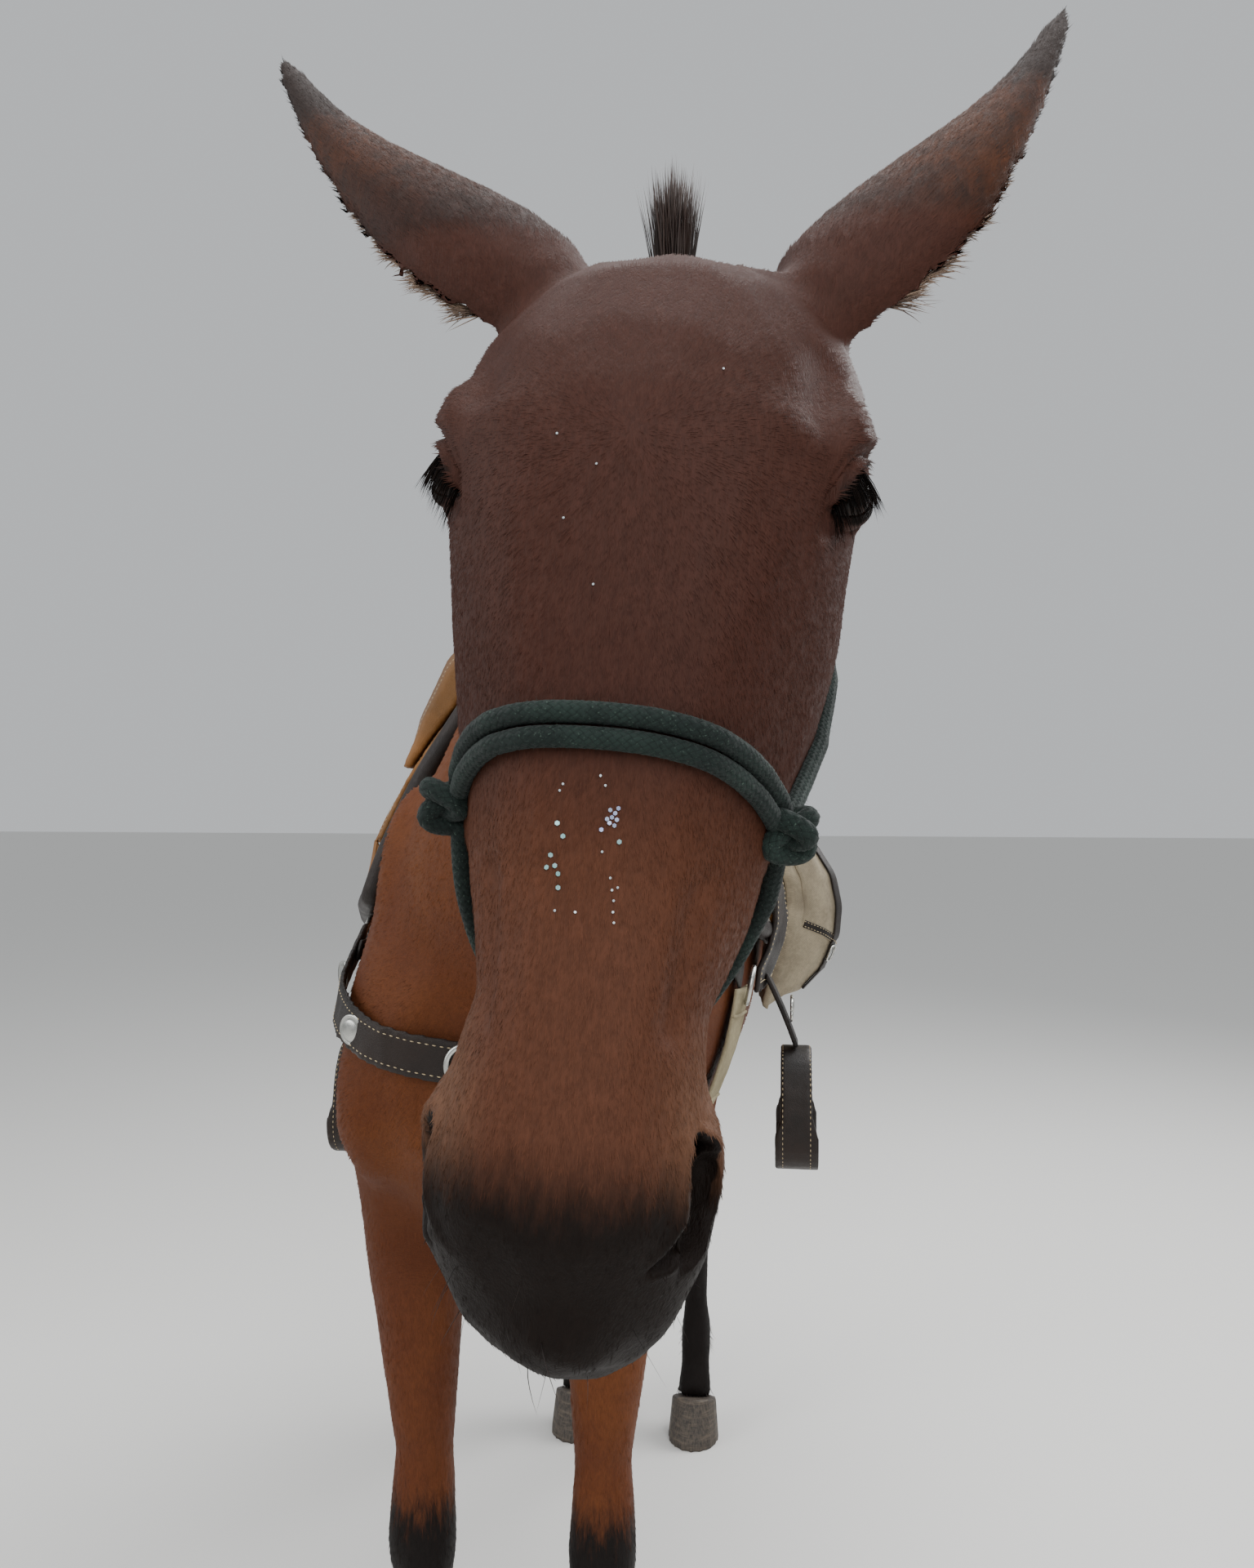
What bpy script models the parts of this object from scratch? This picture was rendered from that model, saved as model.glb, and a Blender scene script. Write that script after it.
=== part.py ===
# Life-size standing mule with a rope halter and a western saddle.
# The animal faces -Y, its left side is +X, and it stands on Z = 0. Units are metres.
# Shapes are first placed in a stance frame whose origin lies on the ground midway
# between the fore hooves; the last step moves the origin to the middle of the model's box.

import math
import random

import bmesh
import bpy
import numpy as np
from mathutils import Matrix, Vector
from mathutils.bvhtree import BVHTree

GAP = 0.0003

# Overall stance
GROUND = 0.0
FORE_HALF_TRACK = 0.104
HIND_HALF_TRACK = 0.120
CORONET_HEIGHT = 0.072
CORONET_TILT = 18.0

# Head pose: origin on the face line at the level of the poll
POLL_POINT = Vector((0.2518, -0.8020, 1.600))
HEAD_PITCH = 9.5
HEAD_ROLL = 4.6

# Working fineness
BODY_VOXEL = 0.009
HEAD_VOXEL = 0.0055
BODY_TRIANGLES = 3900
HEAD_TRIANGLES = 3000
RING_POINTS = 32

# Torso stations along Y: top, upper half width and height, half width and its height,
# lower half width and height, bottom
TORSO = {
    "y": (-0.19, -0.13, -0.03, 0.10, 0.26, 0.46, 0.66, 0.85, 1.00, 1.13, 1.23, 1.30),
    "top": (1.15, 1.26, 1.39, 1.470, 1.450, 1.400, 1.390, 1.420, 1.455, 1.450, 1.405, 1.330),
    "upper_width": (0.05, 0.09, 0.09, 0.085, 0.135, 0.168, 0.175, 0.170, 0.150, 0.130, 0.105, 0.060),
    "upper_z": (1.12, 1.19, 1.30, 1.385, 1.365, 1.335, 1.325, 1.350, 1.385, 1.385, 1.345, 1.280),
    "width": (0.090, 0.148, 0.178, 0.205, 0.250, 0.272, 0.276, 0.262, 0.250, 0.232, 0.195, 0.115),
    "width_z": (1.05, 1.06, 1.08, 1.10, 1.12, 1.12, 1.12, 1.14, 1.18, 1.20, 1.20, 1.18),
    "lower_width": (0.06, 0.12, 0.135, 0.140, 0.165, 0.190, 0.190, 0.170, 0.150, 0.135, 0.115, 0.070),
    "lower_z": (0.97, 0.93, 0.865, 0.845, 0.845, 0.845, 0.855, 0.905, 0.96, 1.00, 1.03, 1.07),
    "bottom": (0.93, 0.86, 0.800, 0.783, 0.780, 0.780, 0.790, 0.835, 0.890, 0.930, 0.970, 1.03),
}

# Neck stations: centre, half depth and half width, from inside the head to inside the chest
NECK_CENTRES = (
    (0.250, -0.665, 1.505),
    (0.238, -0.570, 1.480),
    (0.190, -0.410, 1.415),
    (0.112, -0.250, 1.340),
    (0.040, -0.100, 1.265),
    (0.000, 0.050, 1.190),
)
NECK_HALF_DEPTH = (0.100, 0.120, 0.146, 0.180, 0.218, 0.245)
NECK_HALF_WIDTH = (0.056, 0.064, 0.075, 0.092, 0.125, 0.165)

# Head stations along the face from the poll: heights are above the face line
HEAD = {
    "s": (-0.03, 0.00, 0.04, 0.09, 0.14, 0.20, 0.27, 0.34, 0.38, 0.41, 0.44, 0.475, 0.505, 0.530, 0.548),
    "top": (-0.110, -0.055, -0.026, -0.006, 0.004, 0.007, 0.002, -0.002, -0.002, -0.002,
            -0.003, -0.010, -0.026, -0.047, -0.076),
    "ridge_width": (0.030, 0.045, 0.057, 0.064, 0.066, 0.060, 0.048, 0.038, 0.034, 0.034,
                    0.036, 0.040, 0.037, 0.029, 0.014),
    "ridge_drop": (0.012, 0.013, 0.014, 0.014, 0.014, 0.013, 0.012, 0.010, 0.009, 0.009,
                   0.010, 0.011, 0.012, 0.012, 0.008),
    "width": (0.060, 0.084, 0.103, 0.109, 0.104, 0.098, 0.082, 0.068, 0.0555, 0.058,
              0.0635, 0.067, 0.057, 0.041, 0.020),
    "width_h": (-0.150, -0.125, -0.100, -0.085, -0.080, -0.092, -0.088, -0.076, -0.066, -0.062,
                -0.060, -0.062, -0.068, -0.080, -0.092),
    "jaw_width": (0.044, 0.062, 0.080, 0.088, 0.090, 0.086, 0.070, 0.055, 0.047, 0.044,
                  0.044, 0.046, 0.043, 0.034, 0.018),
    "jaw_h": (-0.19, -0.195, -0.210, -0.232, -0.238, -0.225, -0.188, -0.154, -0.136, -0.127,
              -0.122, -0.120, -0.117, -0.113, -0.110),
    "bottom": (-0.205, -0.238, -0.268, -0.292, -0.300, -0.286, -0.246, -0.205, -0.180, -0.167,
               -0.158, -0.152, -0.147, -0.138, -0.120),
}

# Eyes, in head lengths (lateral, along the face, above the face line)
EYE_CENTRE = (0.0905, 0.123, -0.066)
EYE_RADIUS = 0.0195
LID_THICKNESS = 0.0045
EYE_TURN = 32.0
EYE_SLANT = 38.0

# Ears
EAR_LENGTH = 0.31
EAR_BASE = (0.076, -0.008, -0.125)
EAR_WALL = 0.0042
EAR_SPREAD = {"left": 28.2, "right": 46.1}
EAR_SWEEP = {"left": 15.7, "right": 12.4}
EAR_TURN = 28.0
EAR_BOW = 0.0205
EAR_DROP = 0.005

# Legs: height, centre offset from the track line, centre Y, half width, half depth
FORELEG = (
    (1.00, 0.020, -0.020, 0.070, 0.100),
    (0.87, 0.014, 0.000, 0.062, 0.082),
    (0.75, 0.008, 0.004, 0.056, 0.064),
    (0.64, 0.003, 0.004, 0.044, 0.049),
    (0.54, 0.000, 0.002, 0.036, 0.041),
    (0.485, 0.000, -0.004, 0.041, 0.045),
    (0.44, 0.000, -0.003, 0.041, 0.044),
    (0.395, 0.000, 0.002, 0.033, 0.037),
    (0.32, 0.000, 0.006, 0.027, 0.034),
    (0.22, 0.000, 0.008, 0.027, 0.033),
    (0.168, 0.000, 0.004, 0.035, 0.042),
    (0.128, 0.000, -0.010, 0.031, 0.034),
    (0.095, 0.000, -0.024, 0.037, 0.040),
    (0.050, 0.000, -0.038, 0.044, 0.047),
)
HINDLEG = (
    (1.08, 0.012, 1.085, 0.088, 0.155),
    (0.95, 0.014, 1.045, 0.080, 0.130),
    (0.83, 0.011, 1.065, 0.064, 0.100),
    (0.72, 0.007, 1.115, 0.051, 0.076),
    (0.64, 0.003, 1.160, 0.040, 0.058),
    (0.575, 0.000, 1.192, 0.042, 0.058),
    (0.51, 0.000, 1.200, 0.038, 0.050),
    (0.44, 0.000, 1.198, 0.030, 0.040),
    (0.34, 0.000, 1.194, 0.028, 0.037),
    (0.23, 0.000, 1.190, 0.028, 0.035),
    (0.178, 0.000, 1.182, 0.035, 0.043),
    (0.132, 0.000, 1.166, 0.031, 0.035),
    (0.098, 0.000, 1.150, 0.037, 0.040),
    (0.050, 0.000, 1.136, 0.043, 0.046),
)
HOOF_HALF_WIDTH = 0.051
HOOF_HALF_LENGTH = 0.060
HOOF_FORWARD = 0.024

# Tail
DOCK_PATH = (
    (0.0, 1.225, 1.385),
    (0.0, 1.300, 1.345),
    (0.0, 1.345, 1.240),
    (0.0, 1.358, 1.110),
    (0.0, 1.360, 0.980),
)
DOCK_RADII = (0.046, 0.040, 0.033, 0.025, 0.012)
TAIL_TIP_HEIGHT = 0.36
TAIL_TIP_RANGE = 0.34
TAIL_LOCKS = 20
TAIL_SPREAD = ((1.30, 0.036), (1.10, 0.050), (0.90, 0.066), (0.65, 0.054), (0.36, 0.018))
TAIL_CENTRE_Y = 1.365

# Roached mane and the tuft between the ears
MANE_HEIGHT = 0.050
MANE_ROOT = 0.020
MANE_LOCKS = 20
TUFT_HEIGHT = 0.083
TUFT_LOCKS = 7

# Halter ropes
ROPE_RADIUS = 0.0048
ROPE_LIFT = 0.0009
ROPE_SIDES = 6
KNOT_RADIUS = 0.0145
NOSEBAND_TOP = 0.250
NOSEBAND_SIDE = 0.284
NOSE_KNOT = (0.290, -0.086)
CHEEK_KNOT = (0.128, -0.212)
CROWN_CENTRE = (0.0, 0.060, -0.200)
THROAT_CENTRE = (0.0, 0.125, -0.205)
CHEEK_ROUTE = ((0.284, -0.096), (0.240, -0.128), (0.190, -0.168), (0.138, -0.208))
CHIN_ROUTE = ((0.298, -0.100), (0.34, -0.125), (0.385, -0.150), (0.425, -0.160))

# Saddle and harness
PAD_THICKNESS = 0.022
SKIRT_THICKNESS = 0.008
STRAP_THICKNESS = 0.006
PAD_STEPS = 8
BAG_ROWS = (0.62, 0.86)
COLLAR_CENTRE_Y = 0.10
STIRRUP_X = 0.322
STIRRUP_Y = 0.41
STIRRUP_Z = 0.860
STIRRUP_HALF_LENGTH = 0.068
STIRRUP_HALF_HEIGHT = 0.080
HANGER_HALF_WIDTH = 0.021
RING_RADIUS = 0.026
RING_WIRE = 0.004

COLOURS = {
    "coat": (0.110, 0.047, 0.030),
    "hair": (0.016, 0.013, 0.012),
    "hoof": (0.060, 0.050, 0.042),
    "eye": (0.012, 0.008, 0.006),
    "rope": (0.035, 0.052, 0.050),
    "felt": (0.420, 0.380, 0.330),
    "tan_leather": (0.230, 0.120, 0.060),
    "dark_leather": (0.022, 0.017, 0.015),
    "canvas": (0.330, 0.270, 0.190),
    "steel": (0.620, 0.620, 0.600),
}
ROUGHNESS = {"eye": 0.08, "steel": 0.25, "dark_leather": 0.45, "tan_leather": 0.5, "hoof": 0.45}


def clear_scene():
    for old in list(bpy.data.objects):
        bpy.data.objects.remove(old)


def make_material(name, kind):
    finish = bpy.data.materials.new(name)
    finish.use_nodes = True
    shader = finish.node_tree.nodes["Principled BSDF"]
    shader.inputs["Base Color"].default_value = (*COLOURS[kind], 1.0)
    shader.inputs["Roughness"].default_value = ROUGHNESS.get(kind, 0.75)
    shader.inputs["Metallic"].default_value = 1.0 if kind == "steel" else 0.0
    return finish


def add_object(name, bm, kind=None):
    bmesh.ops.recalc_face_normals(bm, faces=bm.faces)
    bmesh.ops.triangulate(bm, faces=bm.faces)
    mesh = bpy.data.meshes.new(name)
    bm.to_mesh(mesh)
    bm.free()
    made = bpy.data.objects.new(name, mesh)
    bpy.context.collection.objects.link(made)
    if kind:
        finish_object(made, kind)
    return made


def finish_object(made, kind):
    made.data.materials.clear()
    made.data.materials.append(make_material(made.name + "_finish", kind))
    made.data.shade_smooth()
    made.data.set_sharp_from_angle(angle=math.radians(50))


def read_bmesh(source):
    bm = bmesh.new()
    bm.from_mesh(source.data)
    return bm


def duplicate(source, name):
    copy = bpy.data.objects.new(name, source.data.copy())
    bpy.context.collection.objects.link(copy)
    return copy


def apply_modifiers(made):
    graph = bpy.context.evaluated_depsgraph_get()
    mesh = bpy.data.meshes.new_from_object(made.evaluated_get(graph))
    made.modifiers.clear()
    made.data = mesh


def keep_largest(made):
    # Keeps the closed surface with the largest box and drops the others
    bm = read_bmesh(made)
    bmesh.ops.delete(bm, geom=[edge for edge in bm.edges if edge.is_wire], context="EDGES")
    unseen = set(bm.verts)
    best, best_size = None, -1.0
    while unseen:
        group = {unseen.pop()}
        front = list(group)
        while front:
            vert = front.pop()
            for edge in vert.link_edges:
                other = edge.other_vert(vert)
                if other in unseen:
                    unseen.discard(other)
                    group.add(other)
                    front.append(other)
        spans = [max(v.co[i] for v in group) - min(v.co[i] for v in group) for i in range(3)]
        size = spans[0] * spans[1] * spans[2]
        if size > best_size:
            best, best_size = group, size
    bmesh.ops.delete(bm, geom=[v for v in bm.verts if v not in best], context="VERTS")
    bmesh.ops.triangulate(bm, faces=bm.faces)
    bm.to_mesh(made.data)
    bm.free()


def boolean(made, other, operation, solver="MANIFOLD", remove=True):
    cut = made.modifiers.new("cut", "BOOLEAN")
    cut.operation = operation
    cut.solver = solver
    cut.object = other
    apply_modifiers(made)
    if remove:
        bpy.data.objects.remove(other)


def join_pieces(made, pieces, solver="MANIFOLD"):
    group = bpy.data.collections.new("pieces")
    bpy.context.scene.collection.children.link(group)
    for piece in pieces:
        bpy.context.collection.objects.unlink(piece)
        group.objects.link(piece)
    union = made.modifiers.new("union", "BOOLEAN")
    union.operation = "UNION"
    union.solver = solver
    union.operand_type = "COLLECTION"
    union.collection = group
    apply_modifiers(made)
    for piece in list(group.objects):
        bpy.data.objects.remove(piece)
    bpy.data.collections.remove(group)
    keep_largest(made)


def smooth_curve(keys, values, at):
    # Cubic Hermite reading of a keyed value with tangents from its neighbours
    keys = np.asarray(keys, float)
    values = np.asarray(values, float)
    slopes = np.gradient(values, keys, axis=0)
    place = int(np.clip(np.searchsorted(keys, at) - 1, 0, len(keys) - 2))
    span = keys[place + 1] - keys[place]
    t = min(max((at - keys[place]) / span, 0.0), 1.0)
    low = (2 * t**3 - 3 * t**2 + 1) * values[place] + (t**3 - 2 * t**2 + t) * span * slopes[place]
    high = (3 * t**2 - 2 * t**3) * values[place + 1] + (t**3 - t**2) * span * slopes[place + 1]
    return low + high


def closed_section(controls, count=RING_POINTS):
    # Smooth closed outline through half of its control points, mirrored across x = 0
    half = [np.array(point, float) for point in controls]
    mirrored = [np.array((-point[0], point[1])) for point in half[-2:0:-1]]
    loop = half + mirrored
    size = len(loop)
    outline = []
    for index in range(count):
        place = index * size / count
        k = int(place)
        t = place - k
        p0, p1, p2, p3 = (loop[(k + step) % size] for step in (-1, 0, 1, 2))
        outline.append(0.5 * (2 * p1 + (p2 - p0) * t + (2 * p0 - 5 * p1 + 4 * p2 - p3) * t**2
                              + (3 * p1 - p0 - 3 * p2 + p3) * t**3))
    return outline


def loft(name, rings, kind=None):
    # Closed solid through rings that hold the same number of points
    bm = bmesh.new()
    edge_rings = []
    for ring in rings:
        verts = [bm.verts.new(point) for point in ring]
        edges = [bm.edges.new((verts[i], verts[(i + 1) % len(verts)])) for i in range(len(verts))]
        edge_rings.append((verts, edges))
    for (_, first), (_, second) in zip(edge_rings, edge_rings[1:]):
        bmesh.ops.bridge_loops(bm, edges=first + second)
    for verts, _ in (edge_rings[0], edge_rings[-1]):
        bm.faces.new(verts)
    return add_object(name, bm, kind)


def ellipsoid(name, centre, radii, turn=None, segments=20, rings=12):
    bm = bmesh.new()
    bmesh.ops.create_uvsphere(bm, u_segments=segments, v_segments=rings, radius=1.0)
    place = Matrix.Translation(centre) @ (turn.to_4x4() if turn else Matrix())
    bmesh.ops.transform(bm, matrix=place @ Matrix.Diagonal((*radii, 1.0)), verts=bm.verts)
    return add_object(name, bm)


def remesh(pieces, name, voxel, smoothing, triangles):
    # One skin round overlapping pieces, relaxed, then thinned to a triangle count
    bm = bmesh.new()
    for piece in pieces:
        bm.from_mesh(piece.data)
    made = add_object(name, bm)
    shell = made.modifiers.new("shell", "REMESH")
    shell.mode = "VOXEL"
    shell.voxel_size = voxel
    relax = made.modifiers.new("relax", "CORRECTIVE_SMOOTH")
    relax.smooth_type = "LENGTH_WEIGHTED"
    relax.use_only_smooth = True
    relax.iterations = smoothing
    apply_modifiers(made)
    keep_largest(made)
    if triangles:
        thin_out(made, triangles)
    return made


def thin_out(made, triangles):
    thin = made.modifiers.new("thin", "DECIMATE")
    thin.ratio = triangles / (2.0 * len(made.data.polygons))
    apply_modifiers(made)


def bisect(made, point, normal):
    # Keeps the side that the normal points away from, and closes the cut
    bm = read_bmesh(made)
    geometry = bm.verts[:] + bm.edges[:] + bm.faces[:]
    cut = bmesh.ops.bisect_plane(bm, geom=geometry, dist=0.00001, plane_co=point,
                                 plane_no=normal, clear_outer=True)
    edges = [item for item in cut["geom_cut"] if isinstance(item, bmesh.types.BMEdge)]
    edges = [edge for edge in edges if edge.is_valid and edge.is_boundary]
    filled = bmesh.ops.triangle_fill(bm, edges=edges, use_beauty=True, use_dissolve=False)
    if not filled["geom"]:
        bmesh.ops.holes_fill(bm, edges=edges, sides=0)
    bmesh.ops.recalc_face_normals(bm, faces=bm.faces)
    bm.to_mesh(made.data)
    bm.free()


def grow(made, distance):
    # Moves each corner outwards along its normal
    bm = read_bmesh(made)
    bm.normal_update()
    moves = [(vert, vert.normal * distance * min(vert.calc_shell_factor(), 2.5))
             for vert in bm.verts]
    for vert, step in moves:
        vert.co += step
    bm.to_mesh(made.data)
    bm.free()


def grown_copy(made, distance=1.5 * GAP):
    copy = duplicate(made, made.name + "_grown")
    grow(copy, distance)
    return copy


def fit_against(made, carriers, solver="MANIFOLD"):
    # Cuts a piece back, where it would cross its carriers, so that they meet face to face
    for carrier in carriers:
        close = grown_copy(carrier)
        if surface_tree([made]).overlap(surface_tree([close])):
            boolean(made, close, "DIFFERENCE", solver)
        else:
            bpy.data.objects.remove(close)
    keep_largest(made)


def hull(name, corners):
    bm = bmesh.new()
    verts = [bm.verts.new(corner) for corner in corners]
    bmesh.ops.convex_hull(bm, input=verts)
    return add_object(name, bm)


def surface_tree(objects):
    bm = bmesh.new()
    for item in objects:
        bm.from_mesh(item.data)
    bmesh.ops.triangulate(bm, faces=bm.faces)
    tree = BVHTree.FromBMesh(bm)
    bm.free()
    return tree


def head_matrix():
    # Columns: lateral (left), along the face, above the face line
    pitch = math.radians(HEAD_PITCH)
    along = Vector((0.0, -math.sin(pitch), -math.cos(pitch)))
    above = Vector((0.0, -math.cos(pitch), math.sin(pitch)))
    frame = Matrix(((1.0, along.x, above.x), (0.0, along.y, above.y), (0.0, along.z, above.z)))
    roll = Matrix.Rotation(math.radians(HEAD_ROLL), 3, "Y")
    return Matrix.Translation(POLL_POINT) @ (roll @ frame).to_4x4()


HEAD_FRAME = head_matrix()


def head_point(lateral, along, above):
    return HEAD_FRAME @ Vector((lateral, along, above))


def head_vector(lateral, along, above):
    return (HEAD_FRAME.to_3x3() @ Vector((lateral, along, above))).normalized()


def torso_loft():
    rings = []
    for y in np.linspace(TORSO["y"][0], TORSO["y"][-1], 34):
        v = {key: smooth_curve(TORSO["y"], TORSO[key], y) for key in TORSO if key != "y"}
        outline = closed_section((
            (0.0, v["top"]), (v["upper_width"], v["upper_z"]), (v["width"], v["width_z"]),
            (v["lower_width"], v["lower_z"]), (0.0, v["bottom"])))
        rings.append([(x, y, z) for x, z in outline])
    return loft("torso_form", rings)


def path_frames(centres):
    # Tangent, level side axis and rising axis at each point of a path
    frames = []
    last = len(centres) - 1
    for index, centre in enumerate(centres):
        ahead = Vector(centres[min(index + 1, last)]) - Vector(centres[max(index - 1, 0)])
        tangent = ahead.normalized()
        side = Vector((0, 0, 1)).cross(tangent).normalized()
        frames.append((Vector(centre), tangent, side, tangent.cross(side)))
    return frames


def neck_stations(count):
    keys = np.linspace(0, 1, len(NECK_CENTRES))
    for t in np.linspace(0, 1, count):
        yield (smooth_curve(keys, NECK_CENTRES, t), smooth_curve(keys, NECK_HALF_DEPTH, t),
               smooth_curve(keys, NECK_HALF_WIDTH, t))


def neck_loft():
    stations = list(neck_stations(18))
    frames = path_frames([tuple(centre) for centre, _, _ in stations])
    rings = []
    for (centre, _, side, rise), (_, depth, width) in zip(frames, stations):
        outline = closed_section(((0.0, depth), (width * 0.52, depth * 0.66), (width, -depth * 0.10),
                                  (width * 0.74, -depth * 0.70), (0.0, -depth)))
        rings.append([centre + side * x + rise * z for x, z in outline])
    return loft("neck_form", rings)


def head_loft():
    rings = []
    for s in np.linspace(HEAD["s"][0], HEAD["s"][-1], 40):
        v = {key: smooth_curve(HEAD["s"], HEAD[key], s) for key in HEAD if key != "s"}
        outline = closed_section((
            (0.0, v["top"]), (v["ridge_width"], v["top"] - v["ridge_drop"]),
            (v["width"], v["width_h"]), (v["jaw_width"], v["jaw_h"]), (0.0, v["bottom"])))
        rings.append([head_point(x, s, h) for x, h in outline])
    return loft("head_form", rings)


def head_lump(lateral, along, above, radii, tilt=0.0):
    turn = HEAD_FRAME.to_3x3() @ Matrix.Rotation(math.radians(tilt), 3, "X")
    return ellipsoid("lump", head_point(lateral, along, above), radii, turn)


def head_lumps():
    lumps = [
        head_lump(0.0, 0.505, -0.128, (0.034, 0.032, 0.024)),
        head_lump(0.0, 0.480, -0.150, (0.026, 0.026, 0.016)),
        head_lump(0.0, 0.512, -0.062, (0.036, 0.028, 0.036)),
    ]
    for side in (-1, 1):
        lumps += [
            head_lump(side * EYE_CENTRE[0], EYE_CENTRE[1], EYE_CENTRE[2],
                      (EYE_RADIUS + LID_THICKNESS,) * 3),
            head_lump(side * 0.088, 0.098, -0.062, (0.026, 0.038, 0.026), 25.0),
            head_lump(side * 0.066, 0.185, -0.140, (0.034, 0.085, 0.085), -12.0),
            head_lump(side * 0.050, 0.448, -0.066, (0.020, 0.036, 0.026), -8.0),
            head_lump(side * 0.074, 0.225, -0.082, (0.014, 0.065, 0.012), -8.0),
            head_lump(side * 0.062, 0.012, -0.122, (0.036, 0.040, 0.036)),
        ]
    return lumps


def leg_loft(side, stations, track):
    rings = []
    keys = [-row[0] for row in stations]
    for height in np.linspace(keys[0], keys[-1], 34):
        offset, y, half_width, half_depth = smooth_curve(keys, [row[1:] for row in stations], height)
        ring = []
        for index in range(16):
            angle = 2 * math.pi * index / 16
            ring.append((side * (track + offset) + half_width * math.cos(angle),
                         y + half_depth * math.sin(angle), -height))
        rings.append(ring)
    return loft("leg_form", rings)


def muscles():
    lumps = []
    for side in (-1, 1):
        lumps += [
            ellipsoid("shoulder", (side * 0.098, 0.020, 1.130), (0.062, 0.125, 0.200),
                      Matrix.Rotation(math.radians(14), 3, "X")),
            ellipsoid("upper_arm", (side * 0.114, -0.070, 0.985), (0.062, 0.105, 0.105)),
            ellipsoid("elbow", (side * 0.125, 0.075, 0.860), (0.040, 0.040, 0.055)),
            ellipsoid("haunch", (side * 0.125, 1.100, 1.230), (0.112, 0.185, 0.215)),
            ellipsoid("thigh", (side * 0.135, 1.110, 1.040), (0.086, 0.150, 0.180)),
            ellipsoid("stifle", (side * 0.160, 0.945, 0.950), (0.060, 0.070, 0.080)),
            ellipsoid("hock_point", (side * HIND_HALF_TRACK, 1.245, 0.590), (0.020, 0.022, 0.042)),
        ]
    return lumps


def body_forms():
    forms = [torso_loft(), neck_loft()] + muscles()
    for side in (-1, 1):
        forms.append(leg_loft(side, FORELEG, FORE_HALF_TRACK))
        forms.append(leg_loft(side, HINDLEG, HIND_HALF_TRACK))
    return forms


def part_head(whole_head, whole_body):
    # The head ends at a plane behind the ears and the jowl
    point = head_point(0.0, 0.02, -0.225)
    normal = head_vector(0.0, -0.62, -0.78)
    bisect(whole_head, point - normal * GAP / 2, normal)
    keep_largest(whole_head)
    side = head_vector(1.0, 0.0, 0.0)
    rise = normal.cross(side)
    if rise.z < 0:
        rise = -rise
    corners = []
    for across in (-0.35, 0.35):
        for lift in (-0.45, 0.35):
            for deep in (GAP / 2, -0.7):
                corners.append(point + side * across + rise * lift + normal * deep)
    boolean(whole_body, hull("head_cell", corners), "DIFFERENCE")
    keep_largest(whole_body)


def leg_cell(name, side, inner_roof, outer_roof, front, back):
    low = GROUND - 0.1
    inner, outer = side * 0.004, side * 0.42
    corners = []
    for y in (front, back):
        corners += [(inner, y, low), (outer, y, low), (inner, y, inner_roof), (outer, y, outer_roof)]
    return hull(name, corners)


def part_legs(body):
    legs = {}
    cells = (("foreleg", 0.790, 0.930, -0.24, 0.135), ("hindleg", 0.835, 1.010, 0.850, 1.50))
    for label, inner_roof, outer_roof, front, back in cells:
        for side, word in ((-1, "right"), (1, "left")):
            cell = leg_cell("cell", side, inner_roof, outer_roof, front, back)
            leg = duplicate(body, label + "_" + word)
            boolean(leg, cell, "INTERSECT", remove=False)
            keep_largest(leg)
            legs[leg.name] = leg
            grow(cell, GAP)
            boolean(body, cell, "DIFFERENCE")
            keep_largest(body)
    return legs


def part_neck(body):
    # The neck meets the chest at a plane from the withers to the breast
    point = Vector((0.02, -0.085, 1.27))
    normal = Vector((0.25, -0.80, 0.55)).normalized()
    neck = duplicate(body, "neck")
    bisect(neck, point + normal * GAP / 2, -normal)
    keep_largest(neck)
    bisect(body, point - normal * GAP / 2, normal)
    keep_largest(body)
    return neck


def hoof(name, leg, side, track, centre_y):
    tilt = math.radians(CORONET_TILT)
    plane_point = Vector((side * track, centre_y, CORONET_HEIGHT))
    plane_normal = Vector((0.0, math.sin(tilt), math.cos(tilt)))
    bisect(leg, plane_point + plane_normal * GAP / 2, -plane_normal)
    keep_largest(leg)
    rings = []
    for height, flare, slide in ((0.0, 1.0, 1.0), (0.012, 0.985, 0.93), (0.10, 0.83, 0.0)):
        ring = []
        for index in range(16):
            angle = 2 * math.pi * index / 16
            depth = HOOF_HALF_LENGTH * flare * math.sin(angle)
            if depth > 0:
                depth *= 0.86
            ring.append((side * track + HOOF_HALF_WIDTH * flare * math.cos(angle),
                         centre_y - HOOF_FORWARD * slide + depth, height))
        rings.append(ring)
    made = loft(name, rings)
    bisect(made, plane_point - plane_normal * GAP / 2, plane_normal)
    finish_object(made, "hoof")
    return made


def rounded_outline(half_long, half_short, bend, count=12):
    # Almond or comma outline: an ellipse whose long axis is bent
    outline = []
    for index in range(count):
        angle = 2 * math.pi * index / count
        along = half_long * math.cos(angle)
        across = half_short * math.sin(angle) * (1.0 - 0.25 * math.cos(angle))
        outline.append((along, across + bend * (along / half_long)**2))
    return outline


def prism(name, origin, along, across, inward, outline, outside, inside, taper):
    rings = []
    for depth, scale in ((-outside, 1.0), (0.0, 1.0), (inside, taper)):
        rings.append([origin + along * (x * scale) + across * (y * scale) + inward * depth
                      for x, y in outline])
    return loft(name, rings)


def eye_axes(side):
    turn = math.radians(EYE_TURN)
    slant = math.radians(EYE_SLANT)
    outward = head_vector(side * math.cos(turn), 0.05, math.sin(turn))
    long_axis = head_vector(-side * 0.45, math.cos(slant), math.sin(slant) * 0.9)
    long_axis = (long_axis - outward * long_axis.dot(outward)).normalized()
    return outward, long_axis, outward.cross(long_axis)


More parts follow.
